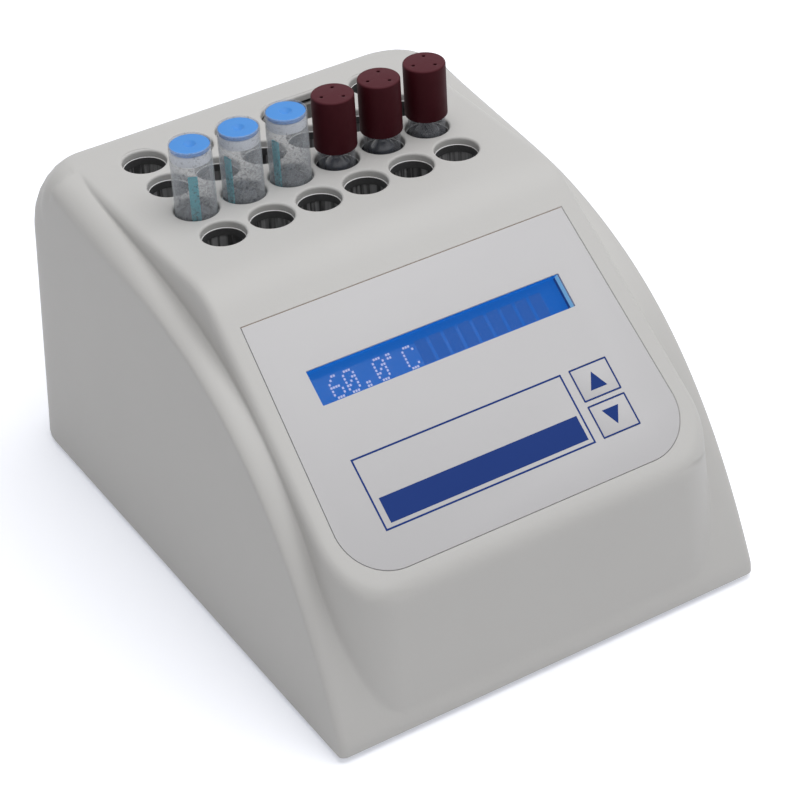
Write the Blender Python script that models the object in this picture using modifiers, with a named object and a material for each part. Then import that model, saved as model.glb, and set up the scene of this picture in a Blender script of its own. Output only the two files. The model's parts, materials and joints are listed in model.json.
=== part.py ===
# Dry-block incubator for biological indicator vials: moulded housing, display panel with two keys,
# heated aluminium block with 22 wells and a vial crusher, and six vials standing in the wells.
# Metres, +Z up, X across, -Y towards the user. The origin is on the table, under the middle.

import math

import bmesh
import bpy
from mathutils import Matrix, Vector

mm = 0.001
gap = 0.3 * mm  # left between pieces that touch on the real thing
over = 1.0 * mm  # how far a cutter runs past what it cuts
edge_break = 0.4 * mm  # chamfer on turned edges

# Wells: 6 columns by 4 rows, two places of the back row taken by the crusher
column_count = 6
row_count = 4
column_pitch = 12.35 * mm
row_pitch = 12.84 * mm
hole_diameter = 10.6 * mm  # in the housing's top
well_diameter = 10.4 * mm  # in the block
hole_sides = 20
round_sides = 16
small_sides = 12

# Housing, measured from its lower front edge
side_margin = 24.8 * mm  # outer column to the side wall's foot
first_row_y = 83.5 * mm
back_margin = 33.5 * mm  # last row to the back wall's foot
body_height = 82.5 * mm
wall = 2.5 * mm
side_slope = 0.0293  # lean of the side walls, sideways per height
back_slope = 0.09
rail_radius = 4.5 * mm  # of the long edges at the front
top_radius = 9.5 * mm  # of the long edges at the flat top
corner_radius = 14.0 * mm  # of the back corners, seen from above
round_start = 50.0  # degrees of climb at which the edges start to widen
round_end = 37.5  # degrees past the top at which they reach the corners' radius
back_radius = 21.0 * mm
foot_height = 1.5 * mm  # table to the housing's lower edge

# Rail line, the side view of the rounded edge, as two cubic curves
toe_height = 5.0 * mm
toe_lean = math.radians(69.9)
toe_pull = 35.8 * mm
knee_y = 67.0 * mm
knee_drop = 9.5 * mm  # below the top
knee_lean = math.radians(15.8)
knee_pull_low = 36.7 * mm
knee_pull_high = 21.3 * mm
rail_end_lean = math.radians(10.0)
rail_end_pull = 10.5 * mm
rail_flat = 2.0 * mm  # between the rail line's end and the back edge
rail_steps = 11
rail_high_steps = 8
arc_steps = 6
edge_steps = 5  # facets of each long edge
least_radius = 0.5 * mm

# Raised middle that carries the wells and the panel
rail_width = 4.4 * mm  # side wall's foot to the middle's foot
hump_slope = 0.055
hump_front = 0.6 * mm
hump_front_slope = 0.072
hump_corner = 12.5 * mm
hump_edge = 3.0 * mm
hump_drop = 0.1 * mm  # below the housing's highest line
hump_back = 1.0 * mm  # short of the back edge's rounding
hump_seat = 0.5 * mm  # above the wedge's lower edge
crest_y = 65.3 * mm
crest_radius = 18.0 * mm
crest_steps = 4
panel_slope = math.radians(37.12)

# Front overlay: u across, v up the slope from its lower edge, w out of the panel
overlay_drop = 10.8 * mm  # crest to the overlay's upper edge
overlay_height = 62.3 * mm
overlay_top_width = 83.7 * mm
overlay_low_width = 88.4 * mm
overlay_corner = 12.0 * mm
overlay_thickness = 0.7 * mm
window_width = 66.0 * mm
window_height = 8.6 * mm
window_v = 43.75 * mm
lens_lap = 1.0 * mm
key_width = 10.1 * mm
key_height = 8.2 * mm
key_u = 28.5 * mm
key_up_v = 22.1 * mm
key_down_v = 12.9 * mm
key_travel = 0.4 * mm
stem_diameter = 3.0 * mm
stem_clearance = 0.4 * mm
stem_reach = 0.5 * mm  # past the housing's inner face

# Display module and key board
board_thickness = 1.6 * mm
board_hole_margin = 2.5 * mm  # from a board's edge to the middle of its screw holes
lcd_board_width = 80.0 * mm
lcd_board_height = 36.0 * mm
bezel_width = 71.4 * mm
bezel_height = 25.2 * mm
bezel_depth = 4.6 * mm
bezel_sheet = 0.6 * mm
view_width = 67.0 * mm
view_height = 14.4 * mm
lcd_hole_u = lcd_board_width / 2 - board_hole_margin
lcd_hole_v = lcd_board_height / 2 - board_hole_margin
panel_boss_diameter = 5.0 * mm
panel_screw_diameter = 2.4 * mm
panel_screw_grip = 3.0 * mm  # length in the boss
boss_sink = 0.8 * mm  # how deep a boss grows into its wall
switch_size = 6.0 * mm
switch_depth = 3.4 * mm
switch_button_diameter = 3.4 * mm
switch_button_height = 0.9 * mm
key_board_width = 26.0 * mm
key_board_margin = 4.2 * mm
key_hole_u = key_board_width / 2 - board_hole_margin

# Heating block and what hangs on it
block_margin = 8.5 * mm
block_height = 36.0 * mm
well_depth = 30.4 * mm
insulation_thickness = 3.0 * mm
insulation_inset = 3.0 * mm  # short of the block at each end
heater_width = 56.0 * mm
heater_depth = 40.0 * mm
heater_thickness = 1.5 * mm
clamp_width = 42.0 * mm
clamp_ear = 6.5 * mm  # past the heater, front and back
clamp_thickness = 1.5 * mm
clamp_corner = 2.0 * mm
clamp_screw_diameter = 3.0 * mm
clamp_screw_inset = 6.0 * mm
clamp_screw_grip = 4.0 * mm
sensor_diameter = 3.0 * mm
sensor_bore_depth = 10.0 * mm
sensor_length = 12.0 * mm
sensor_inset = 4.0 * mm  # from the block's right side
cutout_width = 8.0 * mm
cutout_length = 15.0 * mm
cutout_thickness = 3.5 * mm
cutout_inset = 0.5 * mm  # from the block's left side
cutout_edge = 0.8 * mm
block_post_diameter = 7.0 * mm
block_post_inset = 6.0 * mm
block_screw_grip = 4.0 * mm
slot_length = 22.6 * mm
slot_width = 10.6 * mm
crusher_wall = 1.2 * mm
crusher_depth = 28.0 * mm
crusher_slot = 5.0 * mm
crusher_floor = 2.0 * mm

# Base, feet and screws
base_thickness = 2.5 * mm
base_recess = 0.5 * mm
foot_diameter = 12.0 * mm
foot_inset_x = 14.0 * mm
foot_front_y = 33.0 * mm
foot_back_inset = 24.0 * mm  # from the back wall's foot
screw_diameter = 3.0 * mm
screw_head_diameter = 5.6 * mm
screw_head_height = 1.7 * mm
screw_length = 12.0 * mm
boss_diameter = 7.0 * mm
boss_height = 18.0 * mm
boss_inset = 8.0 * mm  # boss axis to the side wall's foot
boss_front_y = 17.0 * mm
boss_back_y = 141.0 * mm
rib_thickness = 2.0 * mm
rib_step = 1.0 * mm  # lower than the boss at each end
vent_count = 7
vent_width = 2.4 * mm
vent_length = 22.0 * mm
vent_pitch = 6.0 * mm
vent_y = 66.0 * mm

# Control board
board_width = 82.0 * mm
board_depth = 44.0 * mm
board_y = 37.0 * mm
board_lift = 5.0 * mm
post_diameter = 5.5 * mm
post_inset = 4.0 * mm
post_floor = 1.0 * mm  # left under a post's screw hole
chip_size = 12.0 * mm
chip_height = 1.5 * mm
chip_place = (-6.0 * mm, -4.0 * mm)  # from the board's middle
capacitor_diameter = 8.0 * mm
capacitor_height = 11.0 * mm
capacitor_edge = 0.6 * mm
capacitor_place = (14.0 * mm, -8.0 * mm)
sink_width = 22.0 * mm
sink_depth = 9.0 * mm
sink_height = 18.0 * mm
sink_fin = 1.2 * mm
sink_fins = 5
sink_web = 2.0 * mm
sink_place = (-24.0 * mm, 10.0 * mm)
transistor_width = 10.0 * mm
transistor_depth = 4.5 * mm
transistor_height = 15.0 * mm
transistor_edge = 0.5 * mm
terminal_width = 20.0 * mm
terminal_depth = 8.0 * mm
terminal_height = 10.0 * mm
terminal_place = (22.0 * mm, 12.0 * mm)
terminal_ways = 4
terminal_well_diameter = 3.2 * mm
terminal_well_depth = 3.0 * mm

# Back wall: rocker switch and low-voltage inlet
rear_z = 24.0 * mm
rocker_x = 27.0 * mm
inlet_x = -24.0 * mm
rocker_rim_width = 15.0 * mm
rocker_rim_height = 21.0 * mm
rocker_rim = 1.6 * mm
rocker_body_inset = 1.1 * mm
rocker_body_depth = 12.0 * mm
rocker_frame = 1.6 * mm
rocker_angle = math.radians(9.0)
rocker_root = 2.5 * mm  # inwards from the pivot
rocker_pocket = 7.0 * mm
rocker_taper = 1.0 * mm
inlet_flange_diameter = 11.0 * mm
inlet_flange = 1.5 * mm
inlet_diameter = 7.8 * mm
inlet_bore_diameter = 6.0 * mm
inlet_bore_depth = 9.0 * mm
inlet_pin_diameter = 2.1 * mm
inlet_length = 14.0 * mm
inlet_pin_drop = 1.0 * mm  # pin's tip below the face

# Vials
vial_diameter = 9.8 * mm
vial_wall = 0.6 * mm
vial_length = 50.0 * mm
vial_bottom_round = 2.0 * mm
vial_floor = 1.2 * mm
plug_height = 2.5 * mm
plug_rim_drop = 0.3 * mm
dimple_depth = 0.5 * mm
dimple_radius = 0.8 * mm
ring_height = 2.0 * mm
ring_wall = 0.8 * mm
ampoule_diameter = 6.0 * mm
ampoule_drop = 14.5 * mm  # its top below the rim of a full tube
strip_width = 2.2 * mm
strip_thickness = 0.4 * mm
strip_clear = 0.4 * mm  # to the ampoule
strip_drop = 1.7 * mm  # its end below the ring
hood_diameter = 10.8 * mm
hood_height = 15.5 * mm
hood_lift = 1.7 * mm  # above the housing's top
hood_roof = 1.6 * mm
hood_clearance = 0.2 * mm  # round the tube
vent_hole_diameter = 0.9 * mm
vent_hole_radius = 2.9 * mm
vent_hole_turns = (100, 220, 340)  # degrees
vial_row = 1
strip_turns = (-117, -172, -172)  # degrees, the direction each strip looks to

# Sizes that follow
body_width = (column_count - 1) * column_pitch + 2 * side_margin
body_depth = first_row_y + (row_count - 1) * row_pitch + back_margin
back_lean = math.atan(back_slope)
rocker_valley = rocker_rim + gap
rocker_half = math.cos(rocker_angle) * (
    rocker_rim_height / 2 - rocker_frame - gap - rocker_valley * math.sin(rocker_angle))
rocker_end = rocker_valley + rocker_half * math.tan(rocker_angle)
rocker_tip_out = rocker_end * math.cos(rocker_angle) + rocker_half * math.sin(rocker_angle)
rocker_tip_up = rocker_half * math.cos(rocker_angle) - rocker_end * math.sin(rocker_angle)
rocker_reach = (rocker_tip_out * math.cos(back_lean) - rocker_tip_up * math.sin(back_lean)
                - back_slope * rear_z)
front_y = -(body_depth + rocker_reach) / 2
base_z = foot_height
top_z = base_z + body_height - hump_drop
under_z = top_z - wall
block_top = under_z - gap
block_low = block_top - block_height
well_floor = block_top - well_depth
base_top = base_z + base_recess + base_thickness
column_x = [(i - (column_count - 1) / 2) * column_pitch for i in range(column_count)]
row_y = [front_y + first_row_y + j * row_pitch for j in range(row_count)]
block_half_x = column_x[-1] + block_margin
block_front = row_y[0] - block_margin
block_back = row_y[-1] + block_margin
crusher_x = (column_x[3] + column_x[4]) / 2
recess_depth = overlay_thickness + gap
bezel_w = -wall - gap
lcd_board_w = bezel_w - bezel_depth - gap
overlay_lift = overlay_drop + overlay_height
board_top = base_top + board_lift + board_thickness

for old in list(bpy.data.objects):
    bpy.data.objects.remove(old, do_unlink=True)

parts = bpy.data.collections.new("vial_incubator")
cutters = bpy.data.collections.new("cutters")
bpy.context.scene.collection.children.link(parts)
bpy.context.scene.collection.children.link(cutters)


def make_material(name, color, roughness, metallic=0.0, transmission=0.0):
    material = bpy.data.materials.new(name)
    material.use_nodes = True
    shader = material.node_tree.nodes["Principled BSDF"]
    shader.inputs["Base Color"].default_value = (*color, 1.0)
    shader.inputs["Roughness"].default_value = roughness
    shader.inputs["Metallic"].default_value = metallic
    shader.inputs["Transmission Weight"].default_value = transmission
    material.diffuse_color = (*color, 1.0)
    return material


housing_plastic = make_material("housing_plastic", (0.56, 0.55, 0.53), 0.5)
base_plastic = make_material("base_plastic", (0.45, 0.45, 0.44), 0.6)
overlay_film = make_material("overlay_film", (0.58, 0.58, 0.59), 0.35)
key_film = make_material("key_film", (0.56, 0.57, 0.6), 0.35)
clear_plastic = make_material("clear_plastic", (0.9, 0.92, 0.93), 0.08, transmission=1.0)
display_blue = make_material("display_blue", (0.02, 0.14, 0.5), 0.15)
bezel_steel = make_material("bezel_steel", (0.12, 0.12, 0.13), 0.4, 0.8)
board_green = make_material("board_green", (0.03, 0.18, 0.08), 0.5)
aluminium = make_material("aluminium", (0.75, 0.75, 0.76), 0.3, 1.0)
steel = make_material("steel", (0.6, 0.6, 0.6), 0.3, 1.0)
black_plastic = make_material("black_plastic", (0.02, 0.02, 0.02), 0.45)
rubber = make_material("rubber", (0.03, 0.03, 0.03), 0.85)
felt = make_material("felt", (0.7, 0.68, 0.6), 0.95)
silicone = make_material("silicone", (0.55, 0.18, 0.06), 0.7)
blue_cap = make_material("blue_cap", (0.1, 0.29, 0.66), 0.35)
maroon_cap = make_material("maroon_cap", (0.11, 0.03, 0.04), 0.55)
white_plastic = make_material("white_plastic", (0.75, 0.77, 0.85), 0.5)
ampoule_glass = make_material("ampoule_glass", (0.35, 0.3, 0.45), 0.05, transmission=0.8)
strip_teal = make_material("strip_teal", (0.07, 0.35, 0.43), 0.6)


# Objects, cutters and modifiers

def add_object(name, bm, material=None):
    mesh = bpy.data.meshes.new(name)
    bm.to_mesh(mesh)
    bm.free()
    obj = bpy.data.objects.new(name, mesh)
    if material is None:
        cutters.objects.link(obj)
        obj.hide_render = True
        obj.display_type = "WIRE"
    else:
        parts.objects.link(obj)
        mesh.materials.append(material)
        mesh.shade_smooth()
        mesh.set_sharp_from_angle(angle=math.radians(32))
    return obj


def boolean(target, tool, operation="DIFFERENCE"):
    modifier = target.modifiers.new(tool.name, "BOOLEAN")
    modifier.operation = operation
    modifier.solver = "EXACT"
    modifier.object = tool


def bevel(obj, width, segments=2, angle=40):
    modifier = obj.modifiers.new("rounded", "BEVEL")
    modifier.width = width
    modifier.segments = segments
    modifier.limit_method = "ANGLE"
    modifier.angle_limit = math.radians(angle)


# Solids in a bmesh

def add_box(bm, low, high):
    low, high = Vector(low), Vector(high)
    matrix = Matrix.Translation((low + high) / 2) @ Matrix.Diagonal((*(high - low), 1.0))
    return bmesh.ops.create_cube(bm, size=1.0, matrix=matrix)["verts"]


def add_cylinder(bm, radius, low, high, x=0.0, y=0.0, sides=round_sides, low_radius=None):
    matrix = Matrix.Translation((x, y, (low + high) / 2))
    return bmesh.ops.create_cone(
        bm, cap_ends=True, segments=sides, radius1=radius if low_radius is None else low_radius,
        radius2=radius, depth=high - low, matrix=matrix)["verts"]


def add_prism(bm, outline, low, high):
    # an outline in the XY plane, drawn out along Z
    face = bm.faces.new([bm.verts.new((x, y, low)) for x, y in outline])
    drawn = bmesh.ops.extrude_face_region(bm, geom=[face])["geom"]
    moved = [item for item in drawn if isinstance(item, bmesh.types.BMVert)]
    bmesh.ops.translate(bm, vec=(0, 0, high - low), verts=moved)
    bmesh.ops.recalc_face_normals(bm, faces=bm.faces)


def turned(name, profile, material, steps=round_sides):
    # a profile of (radius, height) points, turned about Z, down its outer side
    bm = bmesh.new()
    points = [bm.verts.new((radius, 0, height)) for radius, height in profile]
    for start, end in zip(points, points[1:]):
        bm.edges.new((start, end))
    obj = add_object(name, bm, material)
    screw = obj.modifiers.new("turn", "SCREW")
    screw.steps = steps
    screw.render_steps = steps
    screw.use_merge_vertices = True
    screw.merge_threshold = 0.00001
    screw.use_smooth_shade = True
    return obj


def arc_points(center, radius, start, end, steps):
    # start and end in degrees, both ends included
    turns = [math.radians(start + (end - start) * k / steps) for k in range(steps + 1)]
    return [(center[0] + radius * math.cos(t), center[1] + radius * math.sin(t)) for t in turns]


def rounded_rectangle(half_x, half_y, radius, steps=4):
    inner_x, inner_y = half_x - radius, half_y - radius
    corners = ((inner_x, inner_y, 0), (-inner_x, inner_y, 90),
               (-inner_x, -inner_y, 180), (inner_x, -inner_y, 270))
    return [p for x, y, turn in corners for p in arc_points((x, y), radius, turn, turn + 90, steps)]


def obround(half_length, radius, steps=10):
    straight = half_length - radius
    return (arc_points((straight, 0), radius, -90, 90, steps)
            + arc_points((-straight, 0), radius, 90, 270, steps))


def cubic(start, start_pull, end_pull, end, steps):
    points = []
    for k in range(steps + 1):
        t = k / steps
        points.append(tuple(
            (1 - t) ** 3 * a + 3 * t * (1 - t) ** 2 * b + 3 * t * t * (1 - t) * c + t ** 3 * d
            for a, b, c, d in zip(start, start_pull, end_pull, end)))
    return points


def along(point, lean, length):
    return point[0] + length * math.cos(lean), point[1] + length * math.sin(lean)


# Frames of the sloping panel and of the back wall

panel_frame = Matrix.Translation((
    0.0,
    front_y + crest_y - overlay_lift * math.cos(panel_slope),
    top_z - overlay_lift * math.sin(panel_slope))) @ Matrix.Rotation(panel_slope, 4, "X")

back_frame = Matrix.Translation((0.0, front_y + body_depth - back_slope * rear_z, base_z + rear_z)) @ Matrix((
    (-1, 0, 0, 0),
    (0, -math.sin(back_lean), math.cos(back_lean), 0),
    (0, math.cos(back_lean), math.sin(back_lean), 0),
    (0, 0, 0, 1)))


def on_panel(obj, u=0.0, v=0.0, w=0.0):
    obj.matrix_world = panel_frame @ Matrix.Translation((u, v, w))
    return obj


def on_back(obj, across=0.0, up=0.0, out=0.0):
    obj.matrix_world = back_frame @ Matrix.Translation((-across, up, out))
    return obj


# Housing

def rail_outline(inset):
    # side view of the wedge as (y, z) points from the front foot over the top to the back foot,
    # moved inwards by the inset
    back_top = body_depth - back_slope * (body_height - back_radius)
    toe = (0.0, toe_height)
    knee = (knee_y, body_height - knee_drop)
    end = (back_top - back_radius - rail_flat, body_height)
    low = cubic(toe, along(toe, toe_lean, toe_pull), along(knee, knee_lean, -knee_pull_low), knee, rail_steps)
    high = cubic(knee, along(knee, knee_lean, knee_pull_high), along(end, rail_end_lean, -rail_end_pull), end,
                 rail_high_steps)
    back = arc_points((back_top - back_radius, body_height - back_radius), back_radius, 90, 0, arc_steps)
    outer = [(0.0, 0.0)] + low + high[1:] + back + [(body_depth, 0.0)]
    points = []
    for k, (y, z) in enumerate(outer):
        before, after = outer[max(k - 1, 0)], outer[min(k + 1, len(outer) - 1)]
        first = Vector((y - before[0], z - before[1]))
        second = Vector((after[0] - y, after[1] - z))
        first = (first if first.length else second).normalized()
        second = (second if second.length else first).normalized()
        inward = Vector((first.y + second.y, -first.x - second.x)).normalized()
        reach = inset / max(inward.dot(Vector((first.y, -first.x))), 0.5)
        points.append((y + inward.x * reach, z + inward.y * reach))
    return points


def rounding(radius, inset):
    # a wall's inner radius follows its outer one
    return max(radius - inset, least_radius)


def smooth(share):
    share = min(max(share, 0.0), 1.0)
    return share * share * (3 - 2 * share)


def edge_radius(turn):
    # of the long edges, by the angle from straight up to where the rail line faces
    return (rail_radius + (top_radius - rail_radius) * smooth(turn / round_start + 1)
            + (corner_radius - top_radius) * smooth(turn / round_end))


def add_wedge(bm, inset, low):
    # the outer body: for each point of the rail outline a row of points across the width, which rounds the
    # long edges, between two side walls that lean in
    outline = rail_outline(inset)
    outline[0] = (outline[0][0], low)
    outline[-1] = (outline[-1][0], low)
    last = len(outline) - 1
    rows = []
    for k, (y, z) in enumerate(outline):
        before, after = outline[max(k - 1, 0)], outline[min(k + 1, last)]
        along_line = Vector((after[0] - before[0], after[1] - before[1])).normalized()
        out = Vector((-along_line.y, along_line.x))
        if k in (0, last):
            out = Vector((-1.0 if k == 0 else 1.0, 0.0))
        radius = rounding(edge_radius(math.degrees(math.atan2(out.x, out.y))), inset)
        half_row = []
        for angle in range(0, 91, 90 // edge_steps):
            turn = math.radians(angle)
            drop = radius * (1 - math.sin(turn))
            up = z - out.y * drop
            across = body_width / 2 - inset - side_slope * up - radius * (1 - math.cos(turn))
            half_row.append((across, front_y + y - out.x * drop, base_z + up))
        rows.append([bm.verts.new((-x, y, z)) for x, y, z in half_row]
                    + [bm.verts.new(point) for point in half_row[::-1]])
    for row, ahead in zip(rows, rows[1:]):
        for k in range(len(row) - 1):
            bm.faces.new((row[k], row[k + 1], ahead[k + 1], ahead[k]))
    bm.faces.new([row[0] for row in rows])
    bm.faces.new([row[-1] for row in rows[::-1]])
    bm.faces.new(rows[0][::-1] + rows[-1])
    bmesh.ops.recalc_face_normals(bm, faces=bm.faces)


def clip(bm, point, normal):
    # keep what lies behind the plane, and close the cut
    cut = bmesh.ops.bisect_plane(bm, geom=bm.verts[:] + bm.edges[:] + bm.faces[:], dist=1e-7,
                                 plane_co=point, plane_no=normal, clear_outer=True)["geom_cut"]
    bmesh.ops.contextual_create(bm, geom=[item for item in cut if isinstance(item, bmesh.types.BMEdge)])


def roof_planes(inset):
    # the panel's plane, the flat facets of the rounded crest and the top, as (point, normal)
    corner = Vector((0.0, front_y + crest_y, top_z))
    reach = crest_radius * math.tan(panel_slope / 2)
    center = corner + Vector((0.0, reach, -crest_radius))
    turns = [panel_slope * (crest_steps - k) / crest_steps for k in range(crest_steps + 1)]
    planes = []
    for turn in turns:
        normal = Vector((0.0, -math.sin(turn), math.cos(turn)))
        planes.append((center + normal * (crest_radius - inset), normal))
    return planes


def add_hump(bm, inset, low):
    # the raised middle: a plan with round front corners, drawn up, leaning in, under the roof planes
    half = body_width / 2 - rail_width - inset
    corner = rounding(hump_corner, inset)
    front = hump_front + inset
    back = body_depth - back_slope * (body_height - back_radius) - back_radius - hump_back - inset
    outline = (arc_points((-half + corner, front + corner), corner, 180, 270, 6)
               + arc_points((half - corner, front + corner), corner, 270, 360, 6)
               + [(half, back), (-half, back)])
    add_prism(bm, outline, low, body_height + over)
    for vert in bm.verts:
        forward = hump_front_slope * vert.co.z if vert.co.y < crest_y else 0.0
        lean = 1 - hump_slope * vert.co.z / half
        vert.co = Vector((vert.co.x * lean, front_y + vert.co.y + forward, base_z + vert.co.z))
    for point, normal in roof_planes(inset):
        clip(bm, point, normal)
    bm.normal_update()
    # the edges between the roof and the front and side walls
    rim = [edge for edge in bm.edges
           if edge.calc_face_angle(0.0) > math.radians(40)
           and max(face.normal.z for face in edge.link_faces) > 0.7
           and abs(min(face.normal.z for face in edge.link_faces)) < 0.3
           and min(v.co.y for v in edge.verts) < front_y + back - over]
    bmesh.ops.bevel(bm, geom=rim, offset=rounding(hump_edge, inset), offset_type="OFFSET", segments=3,
                    profile=0.5, affect="EDGES", clamp_overlap=False)


def form(name, inset, low, middle_low, material=None):
    # wedge and raised middle as one body
    wedge = bmesh.new()
    add_wedge(wedge, inset, low)
    body = add_object(name, wedge, material)
    hump = bmesh.new()
    add_hump(hump, inset, middle_low)
    boolean(body, add_object(name + "_middle", hump), "UNION")
    return body


def side_inner_x(height):
    return body_width / 2 - side_slope * height - wall


def boss_places():
    x = body_width / 2 - boss_inset
    return [(sign * x, front_y + y) for y in (boss_front_y, boss_back_y) for sign in (-1, 1)]


def panel_screw_places():
    # (u, v, depth of the board's front face)
    lcd = [(u * lcd_hole_u, window_v + v * lcd_hole_v, lcd_board_w) for u in (-1, 1) for v in (-1, 1)]
    keys = [(key_u + u * key_hole_u, key_board_v(), key_board_w()) for u in (-1, 1)]
    return lcd + keys


def switch_top_w():
    return -wall - stem_reach - key_travel - gap


def key_board_w():
    return switch_top_w() - switch_button_height - switch_depth - gap


def key_board_span():
    return key_down_v - key_board_margin, window_v - lcd_board_height / 2 - gap


def key_board_v():
    return sum(key_board_span()) / 2


def housing_bosses():
    # screw bosses with a rib to the side wall, and short bosses behind the panel
    low = base_top + gap
    high = low + boss_height
    bosses, ribs, behind = bmesh.new(), bmesh.new(), bmesh.new()
    for x, y in boss_places():
        add_cylinder(bosses, boss_diameter / 2, low, high, x, y)
        wall_x = math.copysign(side_inner_x(high - base_z) + boss_sink, x)
        add_box(ribs, (min(x, wall_x), y - rib_thickness / 2, low + rib_step),
                (max(x, wall_x), y + rib_thickness / 2, high - rib_step))
    for u, v, depth in panel_screw_places():
        add_cylinder(behind, panel_boss_diameter / 2, depth + gap, boss_sink - wall, u, v)
    return (add_object("screw_bosses", bosses), add_object("boss_ribs", ribs),
            on_panel(add_object("panel_bosses", behind)))


def well_places():
    taken = {(3, row_count - 1), (4, row_count - 1)}
    return [(x, y) for j, y in enumerate(row_y) for i, x in enumerate(column_x) if (i, j) not in taken]


def overlay_outline(grow=0.0):
    # sides widen downwards, lower corners round
    top, low, corner = overlay_top_width / 2, overlay_low_width / 2, overlay_corner
    right = [(top + grow, overlay_height + grow)] + [(low - corner + x, corner + y) for x, y in (
        arc_points((0, 0), corner + grow, 0, -90, 6))]
    return right + [(-x, y) for x, y in reversed(right)]


def housing_shell():
    shell = form("housing_shell", 0.0, 0.0, hump_seat, housing_plastic)
    boolean(shell, form("cavity", wall, -over, -over - hump_seat))
    for tool in housing_bosses():
        boolean(shell, tool, "UNION")

    holes = bmesh.new()
    for x, y in well_places():
        add_cylinder(holes, hole_diameter / 2, under_z - over, top_z + over, x, y, hole_sides)
    boolean(shell, add_object("deck_holes", holes))

    slot = bmesh.new()
    outline = [(crusher_x + x, row_y[-1] + y) for x, y in obround(slot_length / 2, slot_width / 2)]
    add_prism(slot, outline, under_z - over, top_z + over)
    boolean(shell, add_object("deck_slot", slot))

    recess = bmesh.new()
    add_prism(recess, overlay_outline(gap), -recess_depth, over)
    boolean(shell, on_panel(add_object("overlay_recess", recess)))

    through = bmesh.new()
    half_u, half_v = window_width / 2 + lens_lap, window_height / 2 + lens_lap
    add_box(through, (-half_u, window_v - half_v, -wall - over), (half_u, window_v + half_v, 0))
    for v in (key_up_v, key_down_v):
        add_cylinder(through, stem_diameter / 2 + stem_clearance, -wall - over, 0, key_u, v)
    boolean(shell, on_panel(add_object("window_and_stem_holes", through)))

    pockets = bmesh.new()
    for v in (key_up_v, key_down_v):
        add_box(pockets, (key_u - key_width / 2, v - key_height / 2, -recess_depth - key_travel),
                (key_u + key_width / 2, v + key_height / 2, 0))
    boolean(shell, on_panel(add_object("key_pockets", pockets)))

    pilots = bmesh.new()
    for x, y in boss_places():
        add_cylinder(pilots, screw_diameter / 2 + gap, base_z,
                     base_z + base_recess + screw_length + over, x, y)
    boolean(shell, add_object("boss_pilots", pilots))

    panel_pilots = bmesh.new()
    for u, v, depth in panel_screw_places():
        add_cylinder(panel_pilots, panel_screw_diameter / 2 + gap, depth,
                     depth + panel_screw_grip + 2 * gap, u, v, small_sides)
    boolean(shell, on_panel(add_object("panel_boss_pilots", panel_pilots)))

    rear = bmesh.new()
    half_x = rocker_rim_width / 2 - rocker_body_inset + gap
    half_z = rocker_rim_height / 2 - rocker_body_inset + gap
    add_box(rear, (-rocker_x - half_x, -half_z, -wall - over), (-rocker_x + half_x, half_z, over))
    add_cylinder(rear, inlet_diameter / 2 + gap, -wall - over, over, -inlet_x)
    boolean(shell, on_back(add_object("rear_openings", rear)))


def base_plate():
    half_x = side_inner_x(base_top - base_z) - gap
    low_y = front_y + wall + gap
    high_y = front_y + body_depth - back_slope * (base_top - base_z) - wall - gap
    middle, half_y = (low_y + high_y) / 2, (high_y - low_y) / 2
    bm = bmesh.new()
    front, back = rounding(rail_radius, wall) + gap, rounding(corner_radius, wall) + gap
    outline = ([(x, middle + y) for x, y in rounded_rectangle(half_x, half_y, back) if y > 0]
               + [(x, middle + y) for x, y in rounded_rectangle(half_x, half_y, front) if y < 0])
    add_prism(bm, outline, base_z + base_recess, base_top)
    plate = add_object("base_plate", bm, base_plastic)

    posts = bmesh.new()
    for x, y in board_post_places():
        add_cylinder(posts, post_diameter / 2, base_top - over, base_top + board_lift - gap, x, y,
                     small_sides)
    for x, y in block_post_places():
        add_cylinder(posts, block_post_diameter / 2, base_top - over, block_low - gap, x, y)
    boolean(plate, add_object("base_posts", posts), "UNION")

    cuts = bmesh.new()
    for x, y in screw_places():
        add_cylinder(cuts, screw_diameter / 2 + gap, base_z, base_top + over, x, y)
    for x, y in board_post_places():
        add_cylinder(cuts, panel_screw_diameter / 2 + gap, base_z + base_recess + post_floor,
                     base_top + board_lift + over, x, y, small_sides)
    for k in range(vent_count):
        x = (k - (vent_count - 1) / 2) * vent_pitch
        add_box(cuts, (x - vent_width / 2, front_y + vent_y - vent_length / 2, base_z),
                (x + vent_width / 2, front_y + vent_y + vent_length / 2, base_top + over))
    boolean(plate, add_object("base_holes", cuts))

    sinks = bmesh.new()
    low = base_z + base_recess
    for x, y in screw_places():
        add_cylinder(sinks, screw_diameter / 2 + gap, low, low + screw_head_height + gap, x, y,
                     low_radius=screw_head_diameter / 2 + gap)
    boolean(plate, add_object("screw_sinks", sinks))


def block_post_places():
    return [(x, y) for y in (block_front + block_post_inset, block_back - block_post_inset)
            for x in (block_post_inset - block_half_x, block_half_x - block_post_inset)]


def board_post_places():
    half_x, half_y = board_width / 2 - post_inset, board_depth / 2 - post_inset
    return [(x, front_y + board_y + y) for x in (-half_x, half_x) for y in (-half_y, half_y)]


def screw_places():
    return boss_places() + block_post_places()


def base_screws():
    # countersunk screws up into the housing's bosses
    radius, low = screw_diameter / 2, base_z + base_recess
    names = ("front_left", "front_right", "back_left", "back_right")
    for name, (x, y) in zip(names, boss_places()):
        screw = turned(f"{name}_screw", [
            (0, low + screw_length), (radius, low + screw_length), (radius, low + screw_head_height),
            (screw_head_diameter / 2, low), (0, low)], steel)
        screw.location = (x, y, 0)


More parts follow.
